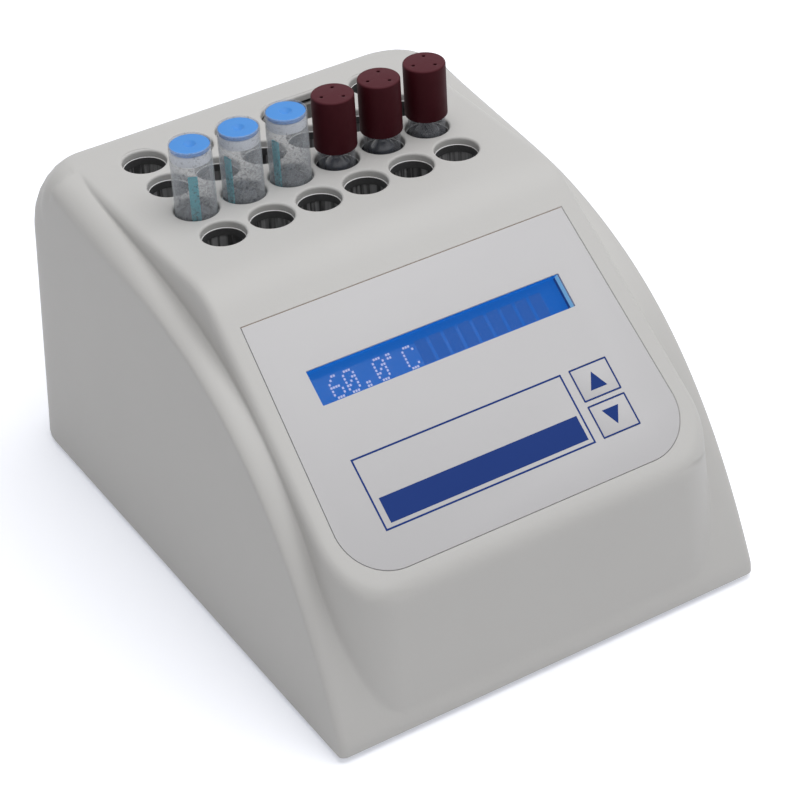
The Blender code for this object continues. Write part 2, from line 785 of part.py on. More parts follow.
def rubber_feet():
    half_x = body_width / 2 - foot_inset_x
    for side, x in (("left", -half_x), ("right", half_x)):
        for end, y in (("front", foot_front_y), ("back", body_depth - foot_back_inset)):
            radius, height = foot_diameter / 2, base_z + base_recess - gap
            foot = turned(f"{end}_{side}_foot", [
                (0, height), (radius, height), (radius, edge_break), (radius - edge_break, 0),
                (0, 0)], rubber)
            foot.location = (x, front_y + y, 0)


# Panel: overlay, window, keys and the boards behind them

def overlay_panel():
    bm = bmesh.new()
    add_prism(bm, overlay_outline(), -overlay_thickness, 0)
    overlay = on_panel(add_object("overlay_panel", bm, overlay_film))
    cuts = bmesh.new()
    add_box(cuts, (-window_width / 2, window_v - window_height / 2, -wall),
            (window_width / 2, window_v + window_height / 2, wall))
    for v in (key_up_v, key_down_v):
        add_box(cuts, (key_u - key_width / 2, v - key_height / 2, -wall),
                (key_u + key_width / 2, v + key_height / 2, wall))
    boolean(overlay, on_panel(add_object("overlay_cuts", cuts)))


def display_window():
    bm = bmesh.new()
    half_u, half_v = window_width / 2 + lens_lap - gap, window_height / 2 + lens_lap - gap
    add_box(bm, (-half_u, -half_v, -wall), (half_u, half_v, -recess_depth))
    on_panel(add_object("display_window", bm, clear_plastic), v=window_v)


def keys():
    for name, v in (("key_up", key_up_v), ("key_down", key_down_v)):
        bm = bmesh.new()
        add_box(bm, (gap - key_width / 2, gap - key_height / 2, -overlay_thickness),
                (key_width / 2 - gap, key_height / 2 - gap, 0))
        key = on_panel(add_object(name, bm, key_film), key_u, v)
        stem = bmesh.new()
        add_cylinder(stem, stem_diameter / 2, -wall - stem_reach, -overlay_thickness / 2)
        boolean(key, on_panel(add_object(name + "_stem", stem), key_u, v), "UNION")


def key_electronics():
    low, high = key_board_span()
    top = key_board_w()
    bm = bmesh.new()
    add_box(bm, (key_u - key_board_width / 2, low, top - board_thickness),
            (key_u + key_board_width / 2, high, top))
    board = on_panel(add_object("key_board", bm, board_green))
    holes = bmesh.new()
    for sign in (-1, 1):
        add_cylinder(holes, panel_screw_diameter / 2 + gap, top - board_thickness - over, top + over,
                     key_u + sign * key_hole_u, key_board_v(), small_sides)
    boolean(board, on_panel(add_object("key_board_holes", holes)))

    for name, v in (("up", key_up_v), ("down", key_down_v)):
        switch = bmesh.new()
        half, seat = switch_size / 2, top + gap
        add_box(switch, (key_u - half, v - half, seat), (key_u + half, v + half, seat + switch_depth))
        body = on_panel(add_object(f"tact_switch_{name}", switch, black_plastic))
        button = bmesh.new()
        add_cylinder(button, switch_button_diameter / 2, seat + switch_depth / 2, switch_top_w(), key_u, v)
        boolean(body, on_panel(add_object(f"switch_button_{name}", button)), "UNION")


def display_module():
    bm = bmesh.new()
    add_box(bm, (-bezel_width / 2, -bezel_height / 2, bezel_w - bezel_depth),
            (bezel_width / 2, bezel_height / 2, bezel_w))
    bezel = on_panel(add_object("lcd_bezel", bm, bezel_steel), v=window_v)
    pocket = bmesh.new()
    inner_u, inner_v = bezel_width / 2 - bezel_sheet, bezel_height / 2 - bezel_sheet
    add_box(pocket, (-inner_u, -inner_v, bezel_w - bezel_depth - over),
            (inner_u, inner_v, bezel_w - bezel_sheet))
    boolean(bezel, on_panel(add_object("bezel_pocket", pocket), v=window_v))
    view = bmesh.new()
    add_box(view, (-view_width / 2, -view_height / 2, bezel_w - bezel_depth / 2),
            (view_width / 2, view_height / 2, 0))
    boolean(bezel, on_panel(add_object("bezel_view", view), v=window_v))

    glass = bmesh.new()
    add_box(glass, (gap - inner_u, gap - inner_v, bezel_w - bezel_depth),
            (inner_u - gap, inner_v - gap, bezel_w - bezel_sheet - gap))
    on_panel(add_object("lcd_glass", glass, display_blue), v=window_v)

    board = bmesh.new()
    add_box(board, (-lcd_board_width / 2, -lcd_board_height / 2, lcd_board_w - board_thickness),
            (lcd_board_width / 2, lcd_board_height / 2, lcd_board_w))
    lcd_board = on_panel(add_object("lcd_board", board, board_green), v=window_v)
    holes = bmesh.new()
    for u in (-lcd_hole_u, lcd_hole_u):
        for v in (-lcd_hole_v, lcd_hole_v):
            add_cylinder(holes, panel_screw_diameter / 2 + gap, lcd_board_w - board_thickness - over,
                         lcd_board_w + over, u, v, small_sides)
    boolean(lcd_board, on_panel(add_object("lcd_board_holes", holes), v=window_v))


# Heating block

def heating_block():
    bm = bmesh.new()
    add_box(bm, (-block_half_x, block_front, block_low), (block_half_x, block_back, block_top))
    block = add_object("heating_block", bm, aluminium)
    bores = bmesh.new()
    for x, y in well_places():
        add_cylinder(bores, well_diameter / 2, well_floor, block_top + over, x, y)
    boolean(block, add_object("block_wells", bores))

    pocket = bmesh.new()
    grow = crusher_wall + gap
    outline = obround(slot_length / 2 + grow, slot_width / 2 + grow)
    add_prism(pocket, [(crusher_x + x, row_y[-1] + y) for x, y in outline],
              block_top - crusher_depth - gap, block_top + over)
    boolean(block, add_object("crusher_pocket", pocket))

    below = bmesh.new()
    for x, y in clamp_screw_places():
        add_cylinder(below, clamp_screw_diameter / 2, block_low - over, block_low + clamp_screw_grip, x, y,
                     small_sides)
    x, y = sensor_place()
    add_cylinder(below, sensor_diameter / 2 + gap, block_low - over,
                 block_low + sensor_bore_depth + gap, x, y, small_sides)
    for x, y in block_post_places():
        add_cylinder(below, screw_diameter / 2, block_low - over, block_low + block_screw_grip, x, y,
                     small_sides)
    boolean(block, add_object("block_bores", below))


def block_middle_y():
    return (block_front + block_back) / 2


def clamp_screw_places():
    x, y = clamp_width / 2 - clamp_screw_inset, heater_depth / 2 + clamp_ear / 2
    return [(sign_x * x, block_middle_y() + sign_y * y) for sign_x in (-1, 1) for sign_y in (-1, 1)]


def sensor_place():
    return block_half_x - sensor_inset, block_middle_y()


def crusher_insert():
    # lines the slot and narrows to the gap that cracks the inner ampoule
    low = block_top - crusher_depth
    place = (crusher_x, row_y[-1], 0)
    lining = bmesh.new()
    add_prism(lining, obround(slot_length / 2 + crusher_wall, slot_width / 2 + crusher_wall), low, block_top)
    insert = add_object("crusher_insert", lining, black_plastic)
    insert.location = place
    mouth = bmesh.new()
    add_prism(mouth, obround(slot_length / 2, slot_width / 2), block_top - crusher_depth / 2, block_top + over)
    throat = bmesh.new()
    half_x = (slot_length - slot_width) / 2
    add_box(throat, (-half_x, -crusher_slot / 2, low + crusher_floor), (half_x, crusher_slot / 2, block_top))
    for name, bm in (("crusher_mouth", mouth), ("crusher_throat", throat)):
        tool = add_object(name, bm)
        tool.location = place
        boolean(insert, tool)


def block_jacket():
    bm = bmesh.new()
    half_x = block_half_x + gap + insulation_thickness
    half_y = (block_back - block_front) / 2 + gap + insulation_thickness
    low, high = block_low + insulation_inset, block_top - insulation_inset
    add_prism(bm, rounded_rectangle(half_x, half_y, insulation_thickness, 3), low, high)
    jacket = add_object("block_insulation", bm, felt)
    jacket.location.y = block_middle_y()
    inside = bmesh.new()
    add_box(inside, (-block_half_x - gap, block_front - gap, low - over),
            (block_half_x + gap, block_back + gap, high + over))
    boolean(jacket, add_object("jacket_inside", inside))


def heater():
    high = block_low - gap
    bm = bmesh.new()
    middle = block_middle_y()
    add_box(bm, (-heater_width / 2, middle - heater_depth / 2, high - heater_thickness),
            (heater_width / 2, middle + heater_depth / 2, high))
    add_object("heater_pad", bm, silicone)

    top = high - heater_thickness - gap
    plate = bmesh.new()
    outline = rounded_rectangle(clamp_width / 2, heater_depth / 2 + clamp_ear, clamp_corner, 2)
    add_prism(plate, [(x, middle + y) for x, y in outline], top - clamp_thickness, top)
    clamp = add_object("heater_clamp", plate, aluminium)
    holes = bmesh.new()
    for x, y in clamp_screw_places():
        add_cylinder(holes, clamp_screw_diameter / 2 + gap, top - clamp_thickness - over, top + over, x, y,
                     small_sides)
    boolean(clamp, add_object("clamp_holes", holes))


def block_sensors():
    x, y = sensor_place()
    high = block_low + sensor_bore_depth
    sensor = turned("temperature_sensor", [
        (0, high), (sensor_diameter / 2, high - edge_break), (sensor_diameter / 2, high - sensor_length),
        (0, high - sensor_length)], steel, small_sides)
    sensor.location = (x, y, 0)

    bm = bmesh.new()
    high = block_low - gap
    add_box(bm, (-cutout_width / 2, -cutout_length / 2, high - cutout_thickness),
            (cutout_width / 2, cutout_length / 2, high))
    cutout = add_object("thermal_cutout", bm, black_plastic)
    cutout.location = (-block_half_x + cutout_width / 2 + cutout_inset, block_middle_y(), 0)
    bevel(cutout, cutout_edge)


# Control board

def control_board():
    bm = bmesh.new()
    middle = front_y + board_y
    add_box(bm, (-board_width / 2, middle - board_depth / 2, board_top - board_thickness),
            (board_width / 2, middle + board_depth / 2, board_top))
    board = add_object("control_board", bm, board_green)
    holes = bmesh.new()
    for x, y in board_post_places():
        add_cylinder(holes, panel_screw_diameter / 2 + gap, base_top, board_top + over, x, y, small_sides)
    boolean(board, add_object("control_board_holes", holes))


def on_board(obj, place):
    obj.location = (place[0], front_y + board_y + place[1], board_top + gap)
    return obj


def board_parts():
    chip = bmesh.new()
    add_box(chip, (-chip_size / 2, -chip_size / 2, 0), (chip_size / 2, chip_size / 2, chip_height))
    on_board(add_object("microcontroller", chip, black_plastic), chip_place)

    can = bmesh.new()
    add_cylinder(can, capacitor_diameter / 2, 0, capacitor_height)
    capacitor = on_board(add_object("capacitor", can, aluminium), capacitor_place)
    bevel(capacitor, capacitor_edge)

    sink = bmesh.new()
    add_box(sink, (-sink_width / 2, -sink_depth / 2, 0), (sink_width / 2, sink_depth / 2, sink_height))
    cooler = on_board(add_object("heat_sink", sink, aluminium), sink_place)
    slots = bmesh.new()
    pitch = (sink_width - sink_fin) / (sink_fins - 1)
    for k in range(sink_fins - 1):
        start = -sink_width / 2 + sink_fin + k * pitch
        add_box(slots, (start, sink_web - sink_depth / 2, -over),
                (start + pitch - sink_fin, sink_depth / 2 + over, sink_height + over))
    boolean(cooler, on_board(add_object("sink_slots", slots), sink_place))

    body = bmesh.new()
    add_box(body, (-transistor_width / 2, -sink_depth / 2 - gap - transistor_depth, 0),
            (transistor_width / 2, -sink_depth / 2 - gap, transistor_height))
    transistor = on_board(add_object("power_transistor", body, black_plastic), sink_place)
    bevel(transistor, transistor_edge, 1)

    block = bmesh.new()
    add_box(block, (-terminal_width / 2, -terminal_depth / 2, 0),
            (terminal_width / 2, terminal_depth / 2, terminal_height))
    terminals = on_board(add_object("terminal_block", block, board_green), terminal_place)
    wells = bmesh.new()
    for k in range(terminal_ways):
        x = (k - (terminal_ways - 1) / 2) * terminal_width / terminal_ways
        add_cylinder(wells, terminal_well_diameter / 2, terminal_height - terminal_well_depth,
                     terminal_height + over, x, 0, small_sides)
    boolean(terminals, on_board(add_object("terminal_wells", wells), terminal_place))


# Back wall

def rocker_switch():
    half_x, half_z = rocker_rim_width / 2, rocker_rim_height / 2
    rim = bmesh.new()
    add_box(rim, (-half_x, -half_z, gap), (half_x, half_z, gap + rocker_rim))
    housing = on_back(add_object("rocker_housing", rim, black_plastic), rocker_x)
    body = bmesh.new()
    inset = rocker_body_inset
    add_box(body, (inset - half_x, inset - half_z, -rocker_body_depth),
            (half_x - inset, half_z - inset, gap + rocker_rim / 2))
    boolean(housing, on_back(add_object("rocker_body", body), rocker_x), "UNION")
    opening = bmesh.new()
    frame = rocker_frame
    add_box(opening, (frame - half_x, frame - half_z, rocker_rim - rocker_pocket),
            (half_x - frame, half_z - frame, rocker_rim + over))
    boolean(housing, on_back(add_object("rocker_opening", opening), rocker_x))

    # two flats meet in a shallow valley over the pivot
    root = rocker_half - rocker_taper
    outline = [(-root, -rocker_root), (root, -rocker_root), (rocker_half, rocker_end),
               (0, rocker_valley), (-rocker_half, rocker_end)]
    half = half_x - frame - gap
    paddle = bmesh.new()
    add_prism(paddle, outline, -half, half)
    turn = Matrix(((0, 0, 1, 0), (1, 0, 0, 0), (0, 1, 0, 0), (0, 0, 0, 1)))
    bmesh.ops.transform(paddle, matrix=Matrix.Rotation(rocker_angle, 4, "X") @ turn, verts=paddle.verts)
    on_back(add_object("power_rocker", paddle, black_plastic), rocker_x)


def power_inlet():
    flange, bore = inlet_flange_diameter / 2, inlet_bore_diameter / 2
    face, barrel, pin = gap + inlet_flange, inlet_diameter / 2, inlet_pin_diameter / 2
    on_back(turned("power_inlet", [
        (0, face - inlet_pin_drop), (pin, face - inlet_pin_drop), (pin, face - inlet_bore_depth),
        (bore, face - inlet_bore_depth), (bore, face), (flange - edge_break, face), (flange, face - edge_break),
        (flange, gap), (barrel, gap),
        (barrel, -inlet_length), (0, -inlet_length)], black_plastic), inlet_x)


# Vials

def tube_profile(length):
    outer, inner, round_off = vial_diameter / 2, vial_diameter / 2 - vial_wall, vial_bottom_round
    bottom = arc_points((outer - round_off, round_off), round_off, 0, -90, 3)
    return [(0, vial_floor), (inner - round_off / 2, vial_floor), (inner, vial_floor + round_off / 2),
            (inner, length), (outer, length)] + bottom + [(0, 0)]


def ampoule(name, x, y, bottom):
    radius = ampoule_diameter / 2
    low = vial_floor + gap
    top = vial_length - ampoule_drop - low
    glass = turned(name, [
        (0, low + top), (radius * 0.5, low + top - radius * 0.2), (radius, low + top - radius),
        (radius, low + radius * 0.6), (radius * 0.6, low), (0, low)], ampoule_glass, small_sides)
    glass.location = (x, y, bottom)


def blue_vial(number, x, y, turn):
    name = f"vial_{number}"
    bottom = well_floor + gap
    inner = vial_diameter / 2 - vial_wall
    turned(f"{name}_tube", tube_profile(vial_length), clear_plastic).location = (x, y, bottom)
    plug, high = inner - gap, vial_length - plug_rim_drop
    cap = turned(f"{name}_cap", [
        (0, high - dimple_depth), (dimple_radius, high), (plug, high), (plug, high - plug_height),
        (0, high - plug_height)], blue_cap)
    cap.location = (x, y, bottom)
    high = high - plug_height - gap
    bore = plug - ring_wall
    strip_high = high - ring_height - strip_drop
    ring = turned(f"{name}_ring", [
        (bore, high), (plug, high), (plug, high - ring_height), (bore, high - ring_height),
        (bore, high)], white_plastic)
    ring.location = (x, y, bottom)
    ampoule(f"{name}_ampoule", x, y, bottom)
    strip = bmesh.new()
    start = ampoule_diameter / 2 + strip_clear
    low = vial_floor + vial_bottom_round
    add_box(strip, (start, -strip_width / 2, low),
            (start + strip_thickness, strip_width / 2, strip_high))
    part = add_object(f"{name}_strip", strip, strip_teal)
    part.location = (x, y, bottom)
    part.rotation_euler.z = math.radians(turn)


def hooded_vial(number, x, y):
    name = f"vial_{number}"
    bottom = well_floor + gap
    hood_low = top_z + hood_lift - bottom
    hood_top = hood_low + hood_height
    radius, inner = hood_diameter / 2, vial_diameter / 2 + hood_clearance
    length = hood_top - hood_roof - gap
    turned(f"{name}_tube", tube_profile(length), clear_plastic).location = (x, y, bottom)
    hood = turned(f"{name}_cap", [
        (0, hood_top), (radius - edge_break, hood_top), (radius, hood_top - edge_break), (radius, hood_low),
        (inner, hood_low), (inner, hood_top - hood_roof), (0, hood_top - hood_roof)], maroon_cap)
    hood.location = (x, y, bottom)
    vents = bmesh.new()
    for turn in vent_hole_turns:
        t = math.radians(turn)
        add_cylinder(vents, vent_hole_diameter / 2, hood_top - hood_roof - over, hood_top + over,
                     vent_hole_radius * math.cos(t), vent_hole_radius * math.sin(t), 6)
    tool = add_object(f"{name}_vents", vents)
    tool.location = hood.location
    boolean(hood, tool)
    ampoule(f"{name}_ampoule", x, y, bottom)


def vials():
    y = row_y[vial_row]
    for k, x in enumerate(column_x):
        if k < len(strip_turns):
            blue_vial(k + 1, x, y, strip_turns[k])
        else:
            hooded_vial(k + 1, x, y)


housing_shell()
base_plate()
base_screws()
rubber_feet()
overlay_panel()
display_window()
keys()
key_electronics()
display_module()
heating_block()
crusher_insert()
block_jacket()
heater()
block_sensors()
control_board()
board_parts()
rocker_switch()
power_inlet()
vials()
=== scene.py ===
import json
import math

import bmesh
import bpy
import numpy as np
from mathutils import Matrix, Vector


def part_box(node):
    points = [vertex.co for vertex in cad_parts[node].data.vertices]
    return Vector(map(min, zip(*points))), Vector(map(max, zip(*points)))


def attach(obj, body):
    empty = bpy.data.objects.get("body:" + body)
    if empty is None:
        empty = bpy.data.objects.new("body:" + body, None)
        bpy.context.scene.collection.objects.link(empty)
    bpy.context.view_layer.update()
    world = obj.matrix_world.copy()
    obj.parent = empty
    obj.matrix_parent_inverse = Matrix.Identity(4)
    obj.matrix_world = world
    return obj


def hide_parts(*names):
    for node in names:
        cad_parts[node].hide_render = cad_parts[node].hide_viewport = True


# Looks of a dry-block incubator for indicator vials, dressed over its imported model.
# Metres, +Z up, X across, -Y towards the user.

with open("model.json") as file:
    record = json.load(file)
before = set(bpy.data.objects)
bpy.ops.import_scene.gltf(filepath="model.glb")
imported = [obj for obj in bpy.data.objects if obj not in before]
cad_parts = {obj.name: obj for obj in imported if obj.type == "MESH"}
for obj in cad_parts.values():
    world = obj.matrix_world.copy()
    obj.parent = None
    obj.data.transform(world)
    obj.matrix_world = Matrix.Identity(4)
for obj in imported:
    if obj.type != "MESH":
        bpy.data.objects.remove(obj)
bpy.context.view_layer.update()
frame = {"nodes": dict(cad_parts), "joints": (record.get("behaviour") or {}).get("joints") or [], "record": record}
mm = 0.001
nodes = frame["nodes"]
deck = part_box("housing_shell")[1].z


# Shader nodes: a value does its own arithmetic, a look is one material

class Value:
    def __init__(self, shading, socket):
        self.shading, self.socket = shading, socket

    def math(self, operation, *others):
        return self.shading.math(operation, self, *others)

    def __add__(self, other):
        return self.math("ADD", other)

    def __sub__(self, other):
        return self.math("SUBTRACT", other)

    def __rsub__(self, other):
        return self.shading.math("SUBTRACT", other, self)

    def __mul__(self, other):
        return self.math("MULTIPLY", other)

    def __truediv__(self, other):
        return self.math("DIVIDE", other)

    __radd__, __rmul__ = __add__, __mul__

    def clamped(self):
        return self.math("MINIMUM", 1.0).math("MAXIMUM", 0.0)


class Shading:
    # the nodes of one tree, which starts empty
    def __init__(self, tree):
        self.tree = tree
        tree.nodes.clear()

    def feed(self, socket, value):
        if isinstance(value, Value):
            self.tree.links.new(value.socket, socket)
        elif isinstance(value, (tuple, list)) and len(value) == 3 and socket.type == "RGBA":
            socket.default_value = (*value, 1.0)
        else:
            socket.default_value = value

    def node(self, kind, settings=None, values=None, output=0):
        made = self.tree.nodes.new(kind)
        for name, value in (settings or {}).items():
            setattr(made, name, value)
        for name, value in (values or {}).items():
            self.feed(made.inputs[name], value)
        return Value(self, made.outputs[output]) if made.outputs else None

    def math(self, operation, *values):
        return self.node("ShaderNodeMath", {"operation": operation}, dict(enumerate(values)))

    def mix(self, factor, first, second):
        return self.node("ShaderNodeMix", {"data_type": "RGBA"}, {0: factor, 6: first, 7: second}, 2)

    def seenRays(self):
        # 1 for rays from the camera, off a mirror or through glass
        eye, mirror, glass = (self.node("ShaderNodeLightPath", output=f"Is {kind} Ray")
                              for kind in ("Camera", "Glossy", "Transmission"))
        return eye.math("MAXIMUM", mirror).math("MAXIMUM", glass)


class Look(Shading):
    def __init__(self, name, **fixed):
        self.material = bpy.data.materials.new(name)
        self.material.use_nodes = True
        super().__init__(self.material.node_tree)
        surface = self.node("ShaderNodeBsdfPrincipled")
        self.node("ShaderNodeOutputMaterial", None, {"Surface": surface})
        self.shader = surface.socket.node
        self.set(**fixed)

    def set(self, **values):
        # sockets of the shader by name, with _ for a blank
        for socket, value in values.items():
            self.feed(self.shader.inputs[socket.replace("_", " ")], value)

    def place(self):
        return self.node("ShaderNodeTexCoord", output="Object")

    def height(self):
        return self.node("ShaderNodeSeparateXYZ", None, {0: self.place()}, "Z")

    def above(self, level, soft):
        # 0 up to a height, 1 from soft over it
        return ((self.height() - level) / soft).clamped()

    def noise(self, scale, detail=3.0, roughness=0.5, place=None):
        return self.node("ShaderNodeTexNoise", None, {
            "Vector": place or self.place(), "Scale": scale, "Detail": detail, "Roughness": roughness})

    def bump(self, height, distance, strength=1.0):
        self.set(Normal=self.node("ShaderNodeBump", None, {
            "Height": height, "Distance": distance, "Strength": strength}))


def mottled(name, light, dark, roughness, spread=0.06, grain=900.0, depth=0.02 * mm, patch=60.0, **fixed):
    # two close colours in soft patches, a fine grain in the bump, roughness that follows the grain
    look = Look(name, **fixed)
    fine = look.noise(grain, 2.0, 0.6)
    look.set(Base_Color=look.mix(look.noise(patch, 4.0), light, dark),
             Roughness=fine * spread + (roughness - spread / 2))
    look.bump(fine, depth)
    return look


def mouldedLook(name, light, dark, roughness):
    # spark-eroded mould texture: small round pits over a fine grain
    look = Look(name)
    pits, grain = look.noise(1500.0, 2.0, 0.55), look.noise(420.0, 2.0, 0.5)
    look.set(Base_Color=look.mix(look.noise(35.0, 3.0), light, dark),
             Roughness=pits * 0.12 + (roughness - 0.06))
    look.bump(pits * 0.6 + grain * 0.4, 0.05 * mm, 0.55)
    return look


def metalLook(name, tint, roughness, streaks=0.1, squeeze=(1.0, 1.0, 0.04), metallic=1.0, scale=2500.0):
    # turned or milled metal: noise squeezed along one direction gives the tool marks
    look = Look(name, Metallic=metallic)
    place = look.node("ShaderNodeMapping", None, {"Vector": look.place(), "Scale": squeeze})
    marks = look.noise(scale, 2.0, place=place)
    dark = tuple((1 - 2.5 * streaks) * c for c in tint)
    look.set(Base_Color=look.mix(((marks - 0.4) / 0.2).clamped(), tint, dark),
             Roughness=marks * streaks + (roughness - streaks / 2))
    look.bump(marks, 0.01 * mm, 0.4)
    return look


hazing = {
    "reach": 16 * mm,  # above the deck, where clear walls start to grow hazy
    "fade": 14 * mm,  # from there to the haziest
    "deeper": 0.07,  # lowers the threshold down there
    "threshold": 0.6,
    "softness": 0.09,
}


def filmLook(name, light, dark, thin, thick, rim, scale=1500.0):
    # a clear wall shown by its haze: dark specks, more of them further down, and paler edges
    look = Look(name, Specular_IOR_Level=0.35)
    depth = ((deck + hazing["reach"] - look.height()) / hazing["fade"]).clamped()
    haze = look.noise(scale, 4.0, 0.65)
    specks = ((haze + depth * hazing["deeper"] - hazing["threshold"]) / hazing["softness"]).clamped()
    facing = look.node("ShaderNodeLayerWeight", None, {"Blend": 0.4}, "Facing")
    look.set(Base_Color=look.mix(specks, light, dark), Roughness=haze * 0.1 + 0.12,
             Alpha=(specks * (thick - thin) + facing * facing * rim + thin).clamped())
    return look


def hoodLook(top):
    # dark sides, and a paler flat end: a painted sheen, the light from above painted onto the top
    look = Look("maroonCap", Specular_IOR_Level=0.1)
    # end masks the flat top, which gets the paler colour of the painted sheen
    end = look.above(top - 0.35 * mm, 0.3 * mm)
    grain = look.noise(500.0)
    side = look.mix(grain, (0.048, 0.0052, 0.009), (0.036, 0.0036, 0.0066))
    look.set(Base_Color=look.mix(end, side, (0.083, 0.019, 0.026)), Roughness=grain * 0.12 + 0.5)
    look.bump(grain, 0.02 * mm)
    return look


def linerLook(top, bevel):
    # painted light: the bevelled edge is painted bright as a highlight, the wall below it dark as painted shade
    # down the well
    look = Look("wellLiner", Specular_IOR_Level=0.6)
    soft = 0.03 * mm
    # edge masks the bevel, where the painted highlight goes
    edge = look.above(top - bevel - soft, soft)
    grain = look.noise(1500.0)
    # the wall's painted shade, with a grain in it
    paintedShade = look.mix(grain, (0.06, 0.06, 0.062), (0.11, 0.11, 0.112))
    look.set(Base_Color=look.mix(edge, paintedShade, (0.88, 0.88, 0.88)), Roughness=grain * 0.15 + 0.25)
    return look


def lensLook():
    look = Look("windowLens", Base_Color=(0.2, 0.4, 0.8), Alpha=0.03, Specular_IOR_Level=0.1)
    look.set(Roughness=look.noise(120.0) * 0.03 + 0.05)
    return look


def displayLook():
    # lit blue in soft patches
    look = Look("displayBlue", Base_Color=(0.002, 0.02, 0.1), Emission_Strength=1.0,
                Specular_IOR_Level=0.1)
    cloud = look.noise(28.0, 2.0)
    look.set(Emission_Color=look.mix(cloud, (0.003, 0.078, 0.36), (0.004, 0.1, 0.4)),
             Roughness=cloud * 0.05 + 0.12)
    return look


def litLook(name, colour, strength):
    look = Look(name, Base_Color=tuple(0.1 * c for c in colour), Emission_Strength=strength,
                Specular_IOR_Level=0.08)
    look.set(Emission_Color=look.mix(look.noise(900.0), colour, tuple(0.85 * c for c in colour)),
             Roughness=look.noise(400.0) * 0.1 + 0.3)
    return look


looks = {
    "housing": mouldedLook("housingPlastic", (0.572, 0.565, 0.553), (0.552, 0.545, 0.534), 0.55),
    "base": mouldedLook("basePlastic", (0.5, 0.49, 0.48), (0.47, 0.465, 0.455), 0.6),
    "film": mottled("overlayFilm", (0.555, 0.549, 0.561), (0.542, 0.536, 0.548), 0.45, depth=0.006 * mm),
    "keyFilm": mottled("keyFilm", (0.54, 0.534, 0.548), (0.527, 0.521, 0.535), 0.45, depth=0.006 * mm),
    "ink": mottled("navyInk", (0.012, 0.04, 0.2), (0.016, 0.047, 0.222), 0.5, depth=0.004 * mm,
                   Specular_IOR_Level=0.08),
    "filmEdge": mottled("filmEdge", (0.3, 0.21, 0.15), (0.24, 0.17, 0.12), 0.6),
    "blackPlastic": mouldedLook("blackPlastic", (0.022, 0.022, 0.024), (0.016, 0.016, 0.017), 0.45),
    "greyPlastic": mouldedLook("greyPlastic", (0.3, 0.295, 0.285), (0.26, 0.255, 0.25), 0.5),
    "rubber": mottled("footRubber", (0.03, 0.03, 0.031), (0.02, 0.02, 0.021), 0.85, depth=0.04 * mm),
    "aluminium": metalLook("millAluminium", (0.8, 0.8, 0.81), 0.28),
    "bore": metalLook("boredAluminium", (0.5, 0.5, 0.51), 0.4, 0.32, metallic=0.4, scale=1100.0),
    "steel": metalLook("screwSteel", (0.62, 0.62, 0.63), 0.3),
    "board": mottled("boardGreen", (0.02, 0.12, 0.05), (0.016, 0.095, 0.04), 0.35),
    "felt": mottled("felt", (0.66, 0.63, 0.54), (0.58, 0.55, 0.47), 0.95, grain=1800.0, depth=0.3 * mm),
    "silicone": mottled("silicone", (0.5, 0.16, 0.05), (0.44, 0.13, 0.04), 0.6),
    "blueCap": mottled("blueCap", (0.078, 0.305, 0.76), (0.066, 0.27, 0.7), 0.5, depth=0.01 * mm,
                       Specular_IOR_Level=0.3),
    "paper": mottled("ringPaper", (0.9, 0.93, 1.0), (0.86, 0.89, 0.97), 0.8, grain=3000.0),
    "teal": mottled("stripTeal", (0.015, 0.48, 0.58), (0.012, 0.44, 0.54), 0.6, grain=3000.0),
    "medium": mottled("medium", (0.036, 0.044, 0.075), (0.022, 0.026, 0.046), 0.2, Coat_Weight=0.5),
    "maroon": hoodLook(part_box("vial_4_cap")[1].z),
    "tube": filmLook("tubeClear", (0.64, 0.67, 0.71), (0.16, 0.17, 0.19), 0.17, 0.48, 0.5),
    "hoodedTube": filmLook("hoodedTube", (0.52, 0.54, 0.58), (0.1, 0.1, 0.12), 0.06, 0.3, 0.4),
    "ampoule": filmLook("ampouleGlass", (0.4, 0.42, 0.46), (0.07, 0.08, 0.09), 0.45, 0.9, 0.3, 1100.0),
    "lens": lensLook(),
    "display": displayLook(),
    "dots": litLook("displayDots", (0.5, 0.54, 0.8), 0.9),
    "cells": litLook("displayCells", (0.008, 0.082, 0.37), 1.0),
    # painted light on the window opening's walls: a pale painted glow, and dark-blue painted shade
    "glow": litLook("windowGlow", (0.2, 0.45, 0.75), 0.8),
    "windowEdge": litLook("windowEdge", (0.006, 0.03, 0.18), 0.8),
}
print("looks:", len(looks))


# Grids of points and what joins them

def gridFaces(rows, columns, closedRows=False, closedColumns=False):
    # quads between neighbours in a grid of points numbered row by row
    r = np.arange(rows if closedRows else rows - 1)[:, None]
    c = np.arange(columns if closedColumns else columns - 1)[None, :]
    below, beside = (r + 1) % rows, (c + 1) % columns
    return np.stack([r * columns + c, r * columns + beside, below * columns + beside, below * columns + c],
                    -1).reshape(-1, 4)


def makeMesh(name, *grids):
    # each grid is (points, quads, caps); a cap is the list of a loop's points
    merge = 0.00001 * mm
    mesh = bpy.data.meshes.new(name)
    points, faces, start = [], [], 0
    for grid, quads, *caps in grids:
        points.append(np.asarray(grid, float).reshape(-1, 3))
        faces += (quads + start).tolist() + [(np.asarray(cap) + start).tolist() for cap in caps]
        start += len(points[-1])
    mesh.from_pydata(np.concatenate(points).tolist(), [], faces)
    work = bmesh.new()
    work.from_mesh(mesh)
    bmesh.ops.remove_doubles(work, verts=work.verts, dist=merge)
    bmesh.ops.recalc_face_normals(work, faces=work.faces)
    work.to_mesh(mesh)
    work.free()
    return mesh


def linked(name, data):
    thing = bpy.data.objects.new(name, data)
    bpy.context.scene.collection.objects.link(thing)
    return thing


def makeObject(name, *grids):
    return linked(name, makeMesh(name, *grids))


def settle(piece):
    # the piece's modifiers become its mesh
    graph = bpy.context.evaluated_depsgraph_get()
    old, piece.data = piece.data, bpy.data.meshes.new_from_object(piece.evaluated_get(graph))
    piece.modifiers.clear()
    piece.data.name = piece.name
    bpy.data.meshes.remove(old)
    return piece


